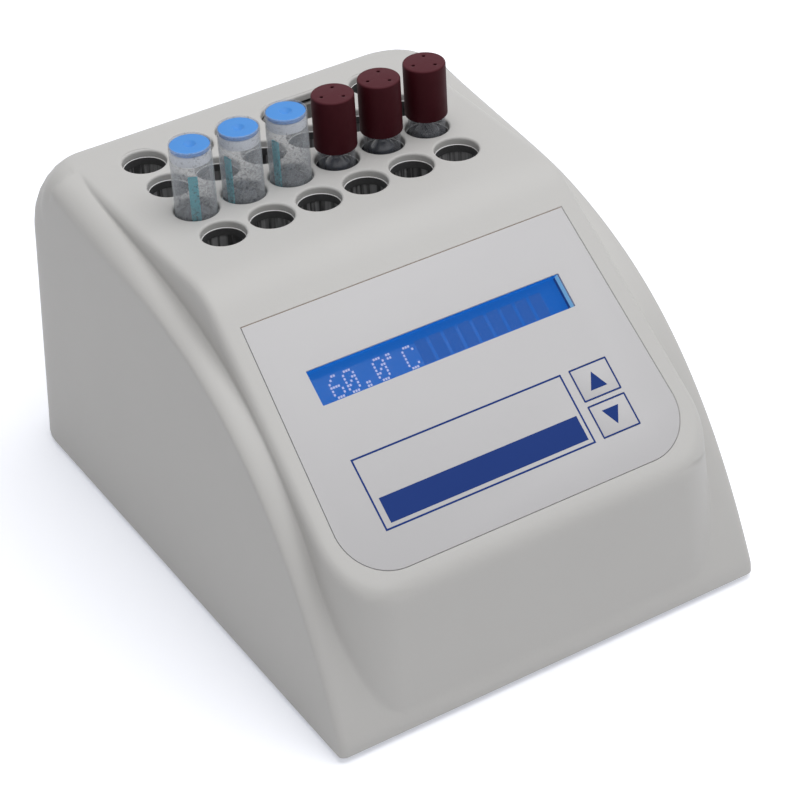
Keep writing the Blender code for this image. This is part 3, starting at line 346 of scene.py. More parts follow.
def carve(piece, *tools):
    for tool in tools:
        cut = piece.modifiers.new(tool.name, "BOOLEAN")
        cut.operation, cut.solver, cut.object = "DIFFERENCE", "EXACT", tool
        cut.use_self = False
    settle(piece)
    for tool in tools:
        bpy.data.objects.remove(tool)
    return piece


def middleOf(low, high):
    return [(a + b) / 2 for a, b in zip(low, high)]


def boxOf(node):
    # corners, middle and half widths of a solid's box
    low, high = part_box(node)
    cx, cy, _ = middleOf(low, high)
    return low, high, (cx, cy), (high.x - cx, high.y - cy)


def dress(piece, look, replaced=(), body="housing", crease=34.0):
    piece.data.materials.clear()
    piece.data.materials.append(looks[look].material)
    piece.data.shade_smooth()
    piece.data.set_sharp_from_angle(angle=math.radians(crease))
    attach(piece, body)
    if replaced:
        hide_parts(*replaced)
    return piece


def rounded(corners, steps=5):
    # corners are (x, y, radius); an arc touches both sides of each corner that has a radius
    points = []
    for k, (x, y, radius) in enumerate(corners):
        here = np.array([x, y], float)
        if radius <= 0:
            points.append(here)
            continue
        back = np.array(corners[k - 1][:2], float) - here
        ahead = np.array(corners[(k + 1) % len(corners)][:2], float) - here
        back, ahead = back / np.linalg.norm(back), ahead / np.linalg.norm(ahead)
        half = 0.5 * math.acos(float(np.clip(back @ ahead, -1, 1)))
        middle = here + (back + ahead) / np.linalg.norm(back + ahead) * radius / math.sin(half)
        start = here + back * radius / math.tan(half) - middle
        end = here + ahead * radius / math.tan(half) - middle
        sweep = math.atan2(start[0] * end[1] - start[1] * end[0], float(start @ end))
        turn = np.linspace(0, sweep, steps + 1)
        points += list(middle + np.stack([start[0] * np.cos(turn) - start[1] * np.sin(turn),
                                          start[0] * np.sin(turn) + start[1] * np.cos(turn)], -1))
    return np.array(points)


def lathe(profile, centre=(0, 0, 0), sides=64, ring=False):
    # radius and height of every profile point, turned about the upright line through the centre
    profile = np.asarray(profile, float)
    turn = np.linspace(0, 2 * np.pi, sides, endpoint=False)
    radius, height = profile[:, :1], profile[:, 1:]
    points = np.stack([radius * np.cos(turn), radius * np.sin(turn), height + 0 * turn], -1)
    return points + np.array(centre, float), gridFaces(len(profile), sides, ring, True)


def rod(radius, low, high, centre=(0, 0, 0), sides=64):
    return lathe([[0, low], [radius, low], [radius, high], [0, high]], centre, sides)


def roundBox(halfX, halfY, radius, centre=(0, 0), corner=8):
    # outline of a box with round corners, every point moved inwards by the inset
    quarter = np.radians(np.arange(4)[:, None] * 90 + np.linspace(0, 90, corner)).ravel()
    signX = np.repeat([1, -1, -1, 1], corner)
    signY = np.repeat([1, 1, -1, -1], corner)

    def outline(inset):
        hub, arc = max(radius, inset), max(radius - inset, 0.0)
        return np.stack([centre[0] + signX * (halfX - hub) + arc * np.cos(quarter),
                         centre[1] + signY * (halfY - hub) + arc * np.sin(quarter)], -1)
    return outline


def slab(outline, profile):
    # the outline carried up a profile of (inset, height) points, both ends capped
    rings = np.array([np.column_stack([outline(inset), np.full(len(outline(inset)), height)])
                      for inset, height in profile])
    rows, columns = rings.shape[:2]
    last = (rows - 1) * columns + np.arange(columns)
    return rings, gridFaces(rows, columns, False, True), np.arange(columns)[::-1], last


def solid(outline, bottom, top):
    return slab(outline, [[0, bottom], [0, top]])


def edgedProfile(low, high, lowRound, highRound, steps=2):
    # side of a plate whose lower and upper edges are quarter circles
    turn = np.linspace(0, np.pi / 2, steps + 1)
    lower = np.stack([lowRound * (1 - np.sin(turn)), low + lowRound * (1 - np.cos(turn))], -1)
    upper = np.stack([highRound * (1 - np.cos(turn)), high - highRound * (1 - np.sin(turn))], -1)
    return np.concatenate([lower, upper])


def moved(matrix, grid):
    points, *rest = grid
    flat = np.asarray(points, float).reshape(-1, 3)
    turned = flat @ np.array(matrix.to_3x3()).T + np.array(matrix.translation)
    return (turned, *rest)


# The sloping panel's own directions, read from the frame: u across, v up the slope, w out of it

def panelDirections():
    press = next(j for j in frame["joints"] if j["child"] == "up_key")["axis"]
    out = -Vector(press).normalized()
    up = Vector((0, out.z, -out.y))
    low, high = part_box("overlay_panel")
    across = np.array([[up.y, -out.y], [up.z, out.z]])
    height, thickness = np.linalg.solve(across, [high.y - low.y, high.z - low.z])
    corner = Vector((0, low.y, high.z - height * up.z))
    turn = Matrix(((1, up.x, out.x), (0, up.y, out.y), (0, up.z, out.z))).to_4x4()
    return Matrix.Translation(corner) @ turn, float(height), float(thickness)


panel, overlayHeight, overlayThickness = panelDirections()
panelSlope = math.atan2(panel[2][1], panel[1][1])


def onPanel(name, grids):
    return makeObject(name, *(moved(panel, grid) for grid in grids))


# Housing: the rail line swept across the width, with the raised middle blended in

housing = {
    "toe": (2.2 * mm, math.radians(69.9), 37.4 * mm),  # height, lean and pull of the front foot
    "knee": (67.0 * mm, 9.5 * mm, math.radians(15.8), 36.7 * mm, 21.3 * mm),  # y, drop, lean, pulls
    "end": (2.0 * mm, math.radians(10.0), 10.5 * mm),  # flat before the back edge, lean, pull
    "backRadius": 21.0 * mm,
    "lean": 0.0293,  # of the side walls, as a slope like the others below
    "backLean": 0.09,
    # width and drop of the long edges' rounding, by the degrees that the rail line looks back from up
    "edges": [(-75, 2.0 * mm, 1.4 * mm), (-45, 3.6 * mm, 1.4 * mm), (-14, 4.0 * mm, 2.0 * mm),
              (2, 8.0 * mm, 8.0 * mm), (37.5, 14.0 * mm, 14.0 * mm)],
    "railWidth": 4.4 * mm,
    "middleLean": 0.055,  # of the raised middle's sides
    "middleFront": 0.6 * mm,  # behind the front of the housing
    "middleFrontLean": 0.072,
    "middleCorner": 12.5 * mm,  # seen from above
    "middleEdge": 2.0 * mm,
    "middleDrop": 0.1 * mm,  # under the housing's top
    "middleBack": 8.0 * mm,  # past the start of the back edge's bend
    "middleFree": (60.0 * mm, 30.0),  # how high it may stand out, so many degrees before the top
    "crest": (65.3 * mm, 18.0 * mm),  # y and radius
    "valley": 0.5 * mm,  # largest fillet between rail and middle
    "softening": 2.0 * mm,  # along the rail line
    "level": 8.0 * mm,  # height over which the sections turn level at the feet
    "wall": 2.5 * mm,
    "stations": 210,
}


def housingSizes():
    low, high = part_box("housing_shell")
    s = dict(housing)
    s.update(halfWidth=high.x, frontY=low.y, baseZ=low.z, height=high.z - low.z, depth=high.y - low.y)
    s["backTop"] = s["depth"] - s["backLean"] * (s["height"] - s["backRadius"])
    return s


def cubicCurve(start, pull, arrive, end, count=60):
    # Bernstein form: (1-t)^3 a + 3t(1-t)^2 b + 3t^2(1-t) c + t^3 d
    t = np.linspace(0, 1, count)[:, None]
    a, b, c, d = (np.array(p, float) for p in (start, pull, arrive, end))
    return (1 - t) ** 3 * a + 3 * t * (1 - t) ** 2 * b + 3 * t ** 2 * (1 - t) * c + t ** 3 * d


def railLine(s):
    # points and outward directions of the side view, evenly spaced along its length
    toeHeight, toeLean, toePull = s["toe"]
    kneeY, kneeDrop, kneeLean, pullLow, pullHigh = s["knee"]
    flat, endLean, endPull = s["end"]
    ahead = lambda point, lean, pull: np.array(point) + pull * np.array([math.cos(lean), math.sin(lean)])
    toe, knee = (0.0, toeHeight), (kneeY, s["height"] - kneeDrop)
    end = (s["backTop"] - s["backRadius"] - flat, s["height"])
    turn = np.linspace(np.pi / 2, 0, 60)
    centre = np.array([s["backTop"] - s["backRadius"], s["height"] - s["backRadius"]])
    lead = 10 * mm  # straight on past both feet, so that the softening keeps the ends
    line = np.concatenate([
        [[0.0, -lead]],
        cubicCurve(toe, ahead(toe, toeLean, toePull), ahead(knee, kneeLean, -pullLow), knee),
        cubicCurve(knee, ahead(knee, kneeLean, pullHigh), ahead(end, endLean, -endPull), end)[1:],
        centre + s["backRadius"] * np.stack([np.cos(turn), np.sin(turn)], -1),
        [[s["depth"] + s["backLean"] * lead, -lead]]])
    length = np.concatenate([[0], np.cumsum(np.linalg.norm(np.diff(line, axis=0), axis=1))])
    step = 0.1 * mm
    fine = np.arange(0, length[-1], step)
    dense = np.stack([np.interp(fine, length, line[:, k]) for k in (0, 1)], -1)
    reach = int(s["softening"] / step)
    kernel = np.hanning(2 * reach + 1)
    kernel /= kernel.sum()
    soft = np.stack([np.convolve(dense[:, k], kernel, "valid") for k in (0, 1)], -1)
    slope = np.gradient(soft, axis=0)
    above = np.flatnonzero(soft[:, 1] >= 0)
    pick = np.linspace(above[0], above[-1], s["stations"])
    index = np.arange(len(soft))
    at = lambda values: np.interp(pick, index, values)
    y, z = at(soft[:, 0]), np.maximum(at(soft[:, 1]), 0)
    z[0] = z[-1] = 0.0
    outY, outZ = -at(slope[:, 1]), at(slope[:, 0])
    outZ = outZ * np.clip(z / s["level"], 0, 1)  # level at the feet, so that the lower edge is flat
    size = np.hypot(outY, outZ)
    return y, z, outY / size, outZ / size


def roundMax(a, b, radius):
    # the larger of two distances, with a quarter circle where they meet
    return (np.minimum(np.maximum(a, b) + radius, 0)
            + np.hypot(np.maximum(a + radius, 0), np.maximum(b + radius, 0)) - radius)


def softMin(a, b, radius):
    # the smaller of two distances, with a fillet where they meet
    return (np.maximum(radius, np.minimum(a, b))
            - np.hypot(np.maximum(radius - a, 0), np.maximum(radius - b, 0)))


def middleWall(s, x, y, z):
    # distance to the leaning plan outline of the raised middle
    corner = s["middleCorner"]
    qx = x - (s["halfWidth"] - s["railWidth"] - s["middleLean"] * z - corner)
    front = s["middleFront"] + s["middleFrontLean"] * z + corner - y
    back = y - (s["backTop"] - s["backRadius"] + s["middleBack"] - corner)
    qy = np.maximum(front, back)
    return np.minimum(np.maximum(qx, qy), 0) + np.hypot(np.maximum(qx, 0), np.maximum(qy, 0)) - corner


def middleRoof(s, y, z):
    # distance to the panel's plane, the crest's round and the flat top: one arc with its tangents
    crestY, radius = s["crest"]
    top = s["height"] - s["middleDrop"]
    hubY, hubZ = crestY + radius * math.tan(panelSlope / 2), top - radius
    angle = np.clip(np.arctan2(hubY - y, z - hubZ), 0, panelSlope)
    return (hubY - y) * np.sin(angle) + (z - hubZ) * np.cos(angle) - radius


def smooth(t):
    # 0 to 1, level at both ends: t^2 (3 - 2t)
    t = np.clip(t, 0, 1)
    return t * t * (3 - 2 * t)


def facing(line):
    # degrees from straight up to where the rail line looks, below 0 on the front slope
    return np.degrees(np.arctan2(line[2], line[3]))


def edgeSizes(s, line):
    # width and drop of the rounding in every section, eased from one row of the table to the next
    turn, (_, wide, drop) = facing(line), s["edges"][0]
    for (start, *before), (end, *after) in zip(s["edges"], s["edges"][1:]):
        share = smooth((turn - start) / (end - start))
        wide, drop = wide + (after[0] - before[0]) * share, drop + (after[1] - before[1]) * share
    return wide, drop


def ovalMax(a, b, wide, drop):
    # the larger of two distances, with a quarter ellipse where they meet
    oval = (np.hypot((a + wide) / wide, (b + drop) / drop) - 1) * drop
    return np.where((a > -wide) & (b > -drop), oval, np.maximum(a, b))


def skinDistance(s, line, fillet, x, h):
    # distance to the housing's skin from a point at x, h outside the rail line
    y, z = line[0] + line[2] * h, line[1] + line[3] * h
    wedge = ovalMax(x - (s["halfWidth"] - s["lean"] * z), h, *edgeSizes(s, line))
    middle = roundMax(middleWall(s, x, y, z), middleRoof(s, y, z), s["middleEdge"])
    out, degrees = s["middleFree"]
    follow = h - out * np.clip(-facing(line) / degrees, 0, 1)  # the middle bends down with the back edge
    return softMin(wedge, np.maximum(middle, follow), fillet)


def halved(inside, outside, test, rounds=44):
    # bisection between a place inside and one outside, on whole arrays
    for _ in range(rounds):
        middle = (inside + outside) / 2
        within = test(middle) < 0
        inside, outside = np.where(within, middle, inside), np.where(within, outside, middle)
    return (inside + outside) / 2


def eased(count, low=1.0, high=1.0):
    # 0 to 1, a power over 1 draws that end's values together: t^a / (t^a + (1 - t)^b)
    t = np.linspace(0, 1, count)
    return t ** low / (t ** low + (1 - t) ** high)


def housingSkin(s, inset=0.0):
    # the level of skinDistance at the inset: rays in every section of the rail line meet it
    line = tuple(v[:, None] for v in railLine(s))
    y0, z0, outY, outZ = line
    depth, inwards = 6 * mm, 8 * mm  # of the point that the rays start from
    highest, farthest = 45 * mm, 70 * mm  # places that are surely outside
    rise = halved(0 * y0 - depth, 0 * y0 + highest, lambda h: np.maximum(
        middleWall(s, 0.0, y0 + outY * h, z0 + outZ * h), middleRoof(s, y0 + outY * h, z0 + outZ * h)))
    rise = np.maximum(rise, 0)
    fillet = np.clip(rise * 0.3, 0.01 * mm, s["valley"])

    def wallX(h):
        y, z = y0 + outY * h, z0 + outZ * h
        corner = s["middleCorner"]
        ahead = np.clip(s["middleFront"] + s["middleFrontLean"] * z + corner - y, 0, corner)
        return (s["halfWidth"] - s["railWidth"] - s["middleLean"] * z - corner
                + np.sqrt(np.maximum(corner ** 2 - ahead ** 2, 0)))

    footX = wallX(np.zeros_like(rise))
    topX = np.minimum(wallX(rise), footX - np.clip(1.5 * mm - rise / 2, 0, None))  # keeps rays apart
    startX = topX - inwards
    wide, drop = edgeSizes(s, line)
    side = s["halfWidth"] - s["lean"] * z0
    between = lambda a, b, t: a + (b - a) * t
    bend = np.radians(np.linspace(90, 0, 9))[None, 1:]
    wall, flat = eased(13, 1.5, 1.5)[None, 1:], eased(8, 1.5)[None, 1:]
    below = -1.3 * drop - 1 * mm  # past the rounding's foot
    targets = [  # (x, h) pairs that the rays aim at, from the middle outwards
        (between(startX, topX, eased(13, 1, 1.5)[None, 1:]), rise + 0 * wall),
        (between(topX, footX, wall), between(rise, 0 * rise, wall)),
        (between(footX, side - wide, flat), 0 * rise + 0 * flat),
        (side - wide + wide * np.cos(bend), 0 * rise - drop + drop * np.sin(bend)),
        (side + 0 * bend[:, :1], 0 * rise + below)]
    aimX, aimH = (np.concatenate([pair[k] + 0 * rise for pair in targets], 1) for k in (0, 1))
    flatX = between(0 * startX, startX, np.linspace(0, 1, 13)[None, :])
    fromX = np.concatenate([flatX, startX + 0 * aimX], 1)
    wayX = np.concatenate([0 * flatX, aimX - startX], 1)
    wayH = np.concatenate([1 + 0 * flatX, aimH + depth], 1)
    size = np.hypot(wayX, wayH)
    wayX, wayH = wayX / size, wayH / size
    far = halved(0 * wayX, 0 * wayX + farthest, lambda d: inset + skinDistance(
        s, line, fillet, fromX + wayX * d, wayH * d - depth))
    x, h = fromX + wayX * far, wayH * far - depth
    top = np.stack([x, y0 + outY * h, np.maximum(z0 + outZ * h, 0)], -1)

    # the side wall: from the rounded edge's foot to a line along the lower edge
    edge = top[:, -1]
    share = np.linspace(0, 1, len(edge))
    foot = np.stack([np.full(len(edge), s["halfWidth"] - inset),
                     between(edge[0, 1], edge[-1, 1], share), np.zeros(len(edge))], -1)
    down = np.linspace(0, 1, 9)[None, 1:, None]
    half = np.concatenate([top, edge[:, None] + (foot - edge)[:, None] * down], 1)
    skin = np.concatenate([half[:, :0:-1] * np.array([-1, 1, 1]), half], 1)
    return skin + np.array([0, s["frontY"], s["baseZ"]])


def shellGrid(outer, inner):
    # two skins of the same size, joined round their rims
    rows, columns = outer.shape[:2]
    quads, count = gridFaces(rows, columns), rows * columns
    index = np.arange(count).reshape(rows, columns)
    rim = np.concatenate([index[0], index[1:, -1], index[-1, -2::-1], index[-2:0:-1, 0]])
    ahead = np.roll(rim, -1)
    return (np.concatenate([outer.reshape(-1, 3), inner.reshape(-1, 3)]), np.concatenate([
        quads, quads[:, ::-1] + count, np.stack([ahead, rim, rim + count, ahead + count], -1)]))


# Holes in the top: their places come from the openings, the vials and the crusher

wells = {
    "hole": 5.25 * mm,  # radius in the housing
    "lip": 0.6 * mm,  # rounded edge of each hole
    "bore": 5.2 * mm,  # radius in the block
    "rim": 0.12 * mm,  # chamfer on the block
    "liner": 5.05 * mm,  # inner radius
    "linerDrop": 1.9 * mm,  # its top below the deck
    "linerBevel": 0.14 * mm,
    "sides": 56,
}
crusher = {
    "wall": 1.2 * mm,
    "throat": 2.5 * mm,  # half the gap that cracks an ampoule
    "slope": 3.0 * mm,  # height of the funnel
    "clear": 0.3 * mm,  # round it in the block
}
overlay = {
    "top": 83.7 * mm,
    "corner": 12.0 * mm,
    "gap": 0.09 * mm,
    "recess": 1.0 * mm,
    "window": (66.0 * mm, 8.6 * mm, 43.75 * mm),  # width, height, v
    "key": (10.1 * mm, 8.2 * mm, 28.5 * mm, (22.1 * mm, 12.9 * mm)),  # width, height, u, both v
    "keyGap": 0.07 * mm,
    "stem": 1.5 * mm,  # radius of a key's stem
    "stemHole": 1.9 * mm,
    "lap": 1.0 * mm,  # lens past the window
}
rear = {
    "rockerInset": 1.4 * mm,  # opening inside the switch's frame
    "inletHole": 4.2 * mm,  # radius
}
openings = frame["record"]["physics"]["openings"]
vialCount, blueCount = 6, 3
linerTop = deck - wells["linerDrop"]
looks["liner"] = linerLook(linerTop, wells["linerBevel"])


def wellPlaces():
    free = [middleOf(*o["box_m"])[:2] for o in openings if o["name"].startswith("well")]
    return free + [boxOf(f"vial_{n + 1}_tube")[2] for n in range(vialCount)]


def crusherOutline(grow, corner=16):
    _, _, centre, (halfX, halfY) = boxOf("crusher_insert")
    return roundBox(halfX + grow, halfY + grow, halfY + grow, centre, corner)


def keyOutlines(gap=0.0, corner=8):
    wide, high, u, places = overlay["key"]
    return [roundBox(wide / 2 - gap, high / 2 - gap, 0.3 * mm, (u, v), corner) for v in places]


def atWells(profile, ring=False):
    return [lathe(profile, (x, y, 0), wells["sides"], ring) for x, y in wellPlaces()]


def flared(radius, low, top, lip, over=2 * mm, steps=5):
    # a hole's cutter: straight up, then round outwards to the lip
    turn = np.linspace(0, np.pi / 2, steps + 1)
    arc = np.stack([radius + lip * (1 - np.cos(turn)), top - lip * (1 - np.sin(turn))], -1)
    return np.concatenate([[[0, low], [radius, low]], arc, [[radius + lip, top + over], [0, top + over]]])


def overlayOutline():
    # straight top corners, sides that widen downwards, round lower corners
    wide, narrow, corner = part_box("overlay_panel")[1].x, overlay["top"] / 2, overlay["corner"]
    bend = np.radians(np.linspace(0, -90, 14))

    def outline(inset):
        arc = corner - inset
        right = np.stack([wide - corner + arc * np.cos(bend), corner + arc * np.sin(bend)], -1)
        right = np.concatenate([[[narrow - inset, overlayHeight - inset]], right])
        return np.concatenate([right, right[::-1] * np.array([-1, 1])])[::-1]
    return outline


def topCutters(s, top):
    # wells, crusher slot and the overlay's recess, all with eased edges
    low, lip, outline, ease = top - 2 * s["wall"], wells["lip"], overlayOutline(), 0.15 * mm
    slot = slab(crusherOutline(-crusher["wall"]), flared(0, low, top, lip)[1:-1] * [-1, 1])
    recess = slab(lambda inset: outline(inset - overlay["gap"]), [
        [0, -overlay["recess"]], [0, -0.2 * mm], [-ease, 0.02 * mm], [-ease, 2 * mm]])
    return atWells(flared(wells["hole"], low, top, lip)) + [slot, moved(panel, recess)]


def rearCutters():
    low, high, (cx, _), (halfX, _) = boxOf("rocker_housing")
    inset = rear["rockerInset"]
    switch = solid(roundBox(halfX - inset, 5 * mm, 0.1 * mm, (cx, high.y - 2 * mm)),
                   low.z + inset, high.z - inset)
    low, high, (cx, _), _ = boxOf("power_inlet")
    barrel = rod(rear["inletHole"], -6 * mm, 6 * mm)
    away = Matrix.Translation((cx, high.y - 3 * mm, (low.z + high.z) / 2))
    return [switch, moved(away @ Matrix.Rotation(math.radians(-90), 4, "X"), barrel)]


def buildHousing():
    s = housingSizes()
    shell = makeObject("housing", shellGrid(housingSkin(s), housingSkin(s, s["wall"])))
    holes = makeObject("housingHoles", *topCutters(s, s["baseZ"] + s["height"] - s["middleDrop"]),
                       *rearCutters())

    # behind the overlay: the window, a pocket under each key and a hole for its stem
    width, height, v = overlay["window"]
    lap, recess, stem, through = overlay["lap"], overlay["recess"], overlay["stemHole"], 6 * mm
    window = solid(roundBox(width / 2 + lap, height / 2 + lap, 0.5 * mm, (0, v)),
                   -through, -recess + 0.5 * mm)
    _, _, u, places = overlay["key"]
    pocket = 1.5 * mm  # deep
    pockets = [solid(outline, -pocket, -recess + 0.4 * mm) for outline in keyOutlines()]
    stems = [rod(stem, -through, 0.3 * mm - pocket, (u, v, 0), 24) for v in places]
    carve(shell, holes, onPanel("panelHoles", [window] + pockets), onPanel("stemHoles", stems))
    dress(shell, "housing", ["housing_shell"])
    print("housing:", len(shell.data.polygons), "faces")


buildHousing()


# Block and crusher under the holes

def buildBlock():
    low, high, centre, (halfX, halfY) = boxOf("heating_block")
    outline = roundBox(halfX, halfY, 0.8 * mm, centre, 4)
    block = makeObject("block", slab(outline, edgedProfile(low.z, high.z, 0.3 * mm, 0.3 * mm)))
    floor = openings[0]["box_m"][0][2] - 0.5 * mm
    r, rim, over = wells["bore"], wells["rim"], 1 * mm
    bore = [[0, floor], [r - 1 * mm, floor], [r, floor + 1 * mm], [r, high.z - rim], [r + rim, high.z],
            [r + rim, high.z + over], [0, high.z + over]]
    clear = crusher["clear"]
    slot = solid(crusherOutline(clear, 12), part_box("crusher_insert")[0].z - clear, high.z + over)
    carve(block, makeObject("blockHoles", *atWells(bore), slot))
    dress(block, "bore", ["heating_block"])

    # a thin liner stands up in each hole, with a painted highlight on its bevelled edge and painted shade on its
    # wall
    inner, outer, foot = wells["liner"], r - 0.02 * mm, high.z - 1 * mm
    liner = [[inner, foot], [outer, foot], [outer, linerTop], [outer - 0.02 * mm, linerTop],
             [inner, linerTop - wells["linerBevel"]]]
    dress(makeObject("wellLiners", *atWells(liner, True)), "liner", crease=20)


def buildCrusher():
    low, high, centre, (_, halfY) = boxOf("crusher_insert")
    wall, throat, middle = crusher["wall"], crusher["throat"], (low.z + high.z) / 2
    liner = makeObject("crusher", slab(crusherOutline(0),
                                       edgedProfile(low.z, high.z, 0.3 * mm, 0.2 * mm)))
    shoulder, lip = halfY - wall - throat, 0.4 * mm
    funnel = [[shoulder, middle - 1 * mm], [shoulder, middle], [0, middle + crusher["slope"]],
              [0, high.z - lip], [-lip, high.z], [-lip, high.z + 1 * mm]]
    carve(liner, makeObject("crusherMouth", slab(crusherOutline(-wall), funnel)),
          makeObject("crusherThroat", solid(roundBox(6 * mm, throat, 0.4 * mm, centre, 4),
                                            low.z + 2 * mm, middle)))
    dress(liner, "greyPlastic", ["crusher_insert"])


buildBlock()
buildCrusher()
print("block and crusher")


# Panel: film, print, keys and display

printing = {
    "line": 0.42 * mm,
    "keyLine": 0.34 * mm,
    "lift": 0.03 * mm,  # ink above the film
    "sunk": 0.01 * mm,  # and into it
    "topEdge": (0.02 * mm, 0.34 * mm, -0.9 * mm, -0.12 * mm),  # gap, height, bottom and top
    "label": (-33.14 * mm, 21.35 * mm, 8.79 * mm, 26.15 * mm),  # left, right, low, high
    "band": (1.9 * mm, 1.3 * mm, 1.3 * mm, 6.0 * mm),  # left, right and low margins, height
    "upBox": (23.41 * mm, 33.55 * mm, 17.99 * mm, 26.15 * mm),
    "downBox": (23.41 * mm, 33.55 * mm, 8.79 * mm, 17.09 * mm),
    "arrow": (4.4 * mm, 4.1 * mm),  # width and height
}


def panelPiece(name, grids, look, replaced=(), body="housing"):
    return dress(onPanel(name, grids), look, replaced, body)


def bar(left, right, low, high, bottom, top):
    return solid(roundBox((right - left) / 2, (high - low) / 2, 0.02 * mm,
                          ((left + right) / 2, (low + high) / 2), 2), bottom, top)


def frameBars(box, line, bottom, top):
    left, right, low, high = box
    return [bar(*sides, bottom, top) for sides in (
        (left, right, high - line, high), (left, right, low, low + line),
        (left, left + line, low + line, high - line), (right - line, right, low + line, high - line))]


def arrow(u, v, turn, bottom, top):
    wide, high = printing["arrow"]
    corners = np.array([[-wide / 2, -high / 2], [wide / 2, -high / 2], [0, high / 2]]) * [1, turn] + [u, v]
    return solid(lambda inset: corners, bottom, top)


def buildFilm():
    film = onPanel("film", [slab(overlayOutline(), edgedProfile(
        -overlayThickness, 0, 0.02 * mm, 0.12 * mm))])
    width, height, v = overlay["window"]
    through = 3 * mm
    cuts = [roundBox(width / 2, height / 2, 0.25 * mm, (0, v), 5)] + keyOutlines(corner=4)
    carve(film, onPanel("filmCuts", [solid(cut, -through, through) for cut in cuts]))
    dress(film, "film", ["overlay_panel"])

    lift, sunk = printing["lift"], printing["sunk"]
    left, right, low, high = printing["label"]
    marginLeft, marginRight, marginLow, band = printing["band"]
    ink = frameBars(printing["label"], printing["line"], -sunk, lift)
    ink.append(bar(left + marginLeft, right - marginRight, low + marginLow, low + marginLow + band,
                   -sunk, lift))
    panelPiece("labelPrint", ink, "ink")
    gap, high, bottom, top = printing["topEdge"]
    low, half = overlayHeight + gap, overlay["top"] / 2
    panelPiece("filmTopEdge", [bar(-half, half, low, low + high, bottom, top)], "filmEdge")


def buildKeys():
    keyWide, keyHigh, u, places = overlay["key"]
    gap, stem, lift, sunk = overlay["keyGap"], overlay["stem"], printing["lift"], 2 * printing["sunk"]
    halfX, halfY = keyWide / 2 - gap, keyHigh / 2 - gap
    for name, v, outline, turn in zip(("up", "down"), places, keyOutlines(gap, 4), (1, -1)):
        plate = slab(outline, edgedProfile(-overlayThickness, 0, 0.02 * mm, 0.1 * mm))
        post = rod(stem, -3 * mm, -0.5 * mm, (u, v, 0), 32)
        panelPiece(f"{name}Key", [plate, post], "keyFilm", [f"key_{name}"], f"{name}_key")
        left, right, low, high = printing[f"{name}Box"]
        inner = (max(left, u - halfX), min(right, u + halfX), max(low, v - halfY), min(high, v + halfY))
        marks = frameBars(inner, printing["keyLine"], -sunk, lift) + [arrow(u, v, turn, -sunk, lift)]
        panelPiece(f"{name}KeyPrint", marks, "ink", (), f"{name}_key")


display = {
    "pitch": 3.82 * mm,  # one character to the next
    "dot": 0.46 * mm,
    "dotPitch": 0.63 * mm,
    "rowPitch": 0.84 * mm,
    "start": -28.1 * mm,
    "low": -3.2 * mm,  # lowest row of dots, from the window's middle
    "rows": 7,
    "stretch": 1.12,  # height of a dot by its width
    "count": 15,
    "text": "60.0oC",
    "bezel": (71.4 * mm, 25.2 * mm),
    "sheet": 0.6 * mm,  # the bezel's metal
    "gap": 0.3 * mm,
    "thick": 3.4 * mm,
    "skirt": (0.05 * mm, 0.6 * mm),  # the opening's walls, from the window's edge
    "glowWidth": 0.35 * mm,
}
digits = {
    "6": "00110 01000 10000 11110 10001 10001 01110",
    "0": "01110 10001 10011 10101 11001 10001 01110",
    ".": "00000 00000 00000 00000 00000 01100 01100",
    "o": "11000 11000 00000 00000 00000 00000 00000",
    "C": "01110 10001 10000 10000 10000 10001 01110",
}


def dotBars(cell, rows, bottom, top):
    # one small square for each lit dot of a character cell
    d = display
    low = overlay["window"][2] + d["low"]
    grids = []
    for r, row in enumerate(rows.split()):
        for c, lit in enumerate(row):
            if lit == "1":
                u = d["start"] + cell * d["pitch"] + c * d["dotPitch"]
                w = low + (d["rows"] - 1 - r) * d["rowPitch"]
                grids.append(bar(u, u + d["dot"], w, w + d["dot"] * d["stretch"], bottom, top))
    return grids


def buildDisplay():
    # the lit glass, its dots and the faint cells of the places that show nothing
    d, wall = display, housing["wall"]
    face = -wall - d["gap"] - d["sheet"] - d["gap"]
    width, height, v = overlay["window"]
    wide, high = d["bezel"]
    glass = slab(roundBox(wide / 2 - d["sheet"] - d["gap"], high / 2 - d["sheet"] - d["gap"], 0.3 * mm,
                          (0, v), 3), edgedProfile(face - d["thick"], face, 0.1 * mm, 0.1 * mm))
    panelPiece("displayGlass", [glass], "display", ["lcd_glass"])
    back = face - 0.01 * mm
    dots = [g for k, letter in enumerate(d["text"])
            for g in dotBars(k, digits[letter], back, face + 0.04 * mm)]
    panelPiece("displayDots", dots, "dots")
    starts = [d["start"] + k * d["pitch"] for k in range(len(d["text"]), d["count"])]
    low = v + d["low"]
    cells = [bar(u, u + 4 * d["dotPitch"] + d["dot"], low, low + d["rows"] * d["rowPitch"],
                 back, face + 0.02 * mm) for u in starts]
    panelPiece("displayCells", cells, "cells")

    # the opening's own walls carry painted light: a pale painted glow at the far right, the display's blue painted
    # on the top wall as a glow, and dark-blue painted shade round the rest
    half, low, high = width / 2, v - height / 2, v + height / 2
    deep, shallow, (near, far) = face + 0.1 * mm, -overlayThickness - 0.02 * mm, d["skirt"]
    walls = {
        # painted light and shade: these walls glow though they are no lamp
        "windowGlow": ("glow", [(half + near, half + d["glowWidth"], low, high, -wall, shallow)]),
        "windowTop": ("display", [(-half - far, half + far, high + near, high + far, deep, shallow)]),
        "windowEdge": ("windowEdge", [(-half - far, half + far, low - far, low - near, deep, shallow),
                                      (half + near, half + far, low, high, deep, -wall - 0.02 * mm),
                                      (-half - far, -half - near, low, high, deep, shallow)])}
    for name, (look, bars) in walls.items():
        panelPiece(name, [bar(*sides) for sides in bars], look)
    lens = slab(roundBox(half, height / 2, 0.1 * mm, (0, v), 4),
                edgedProfile(-wall, -overlay["recess"], 0.05 * mm, 0.05 * mm, 1))
    panelPiece("windowLens", [lens], "lens", ["display_window"])


buildFilm()
buildKeys()
buildDisplay()
print("panel and display")


# Vials

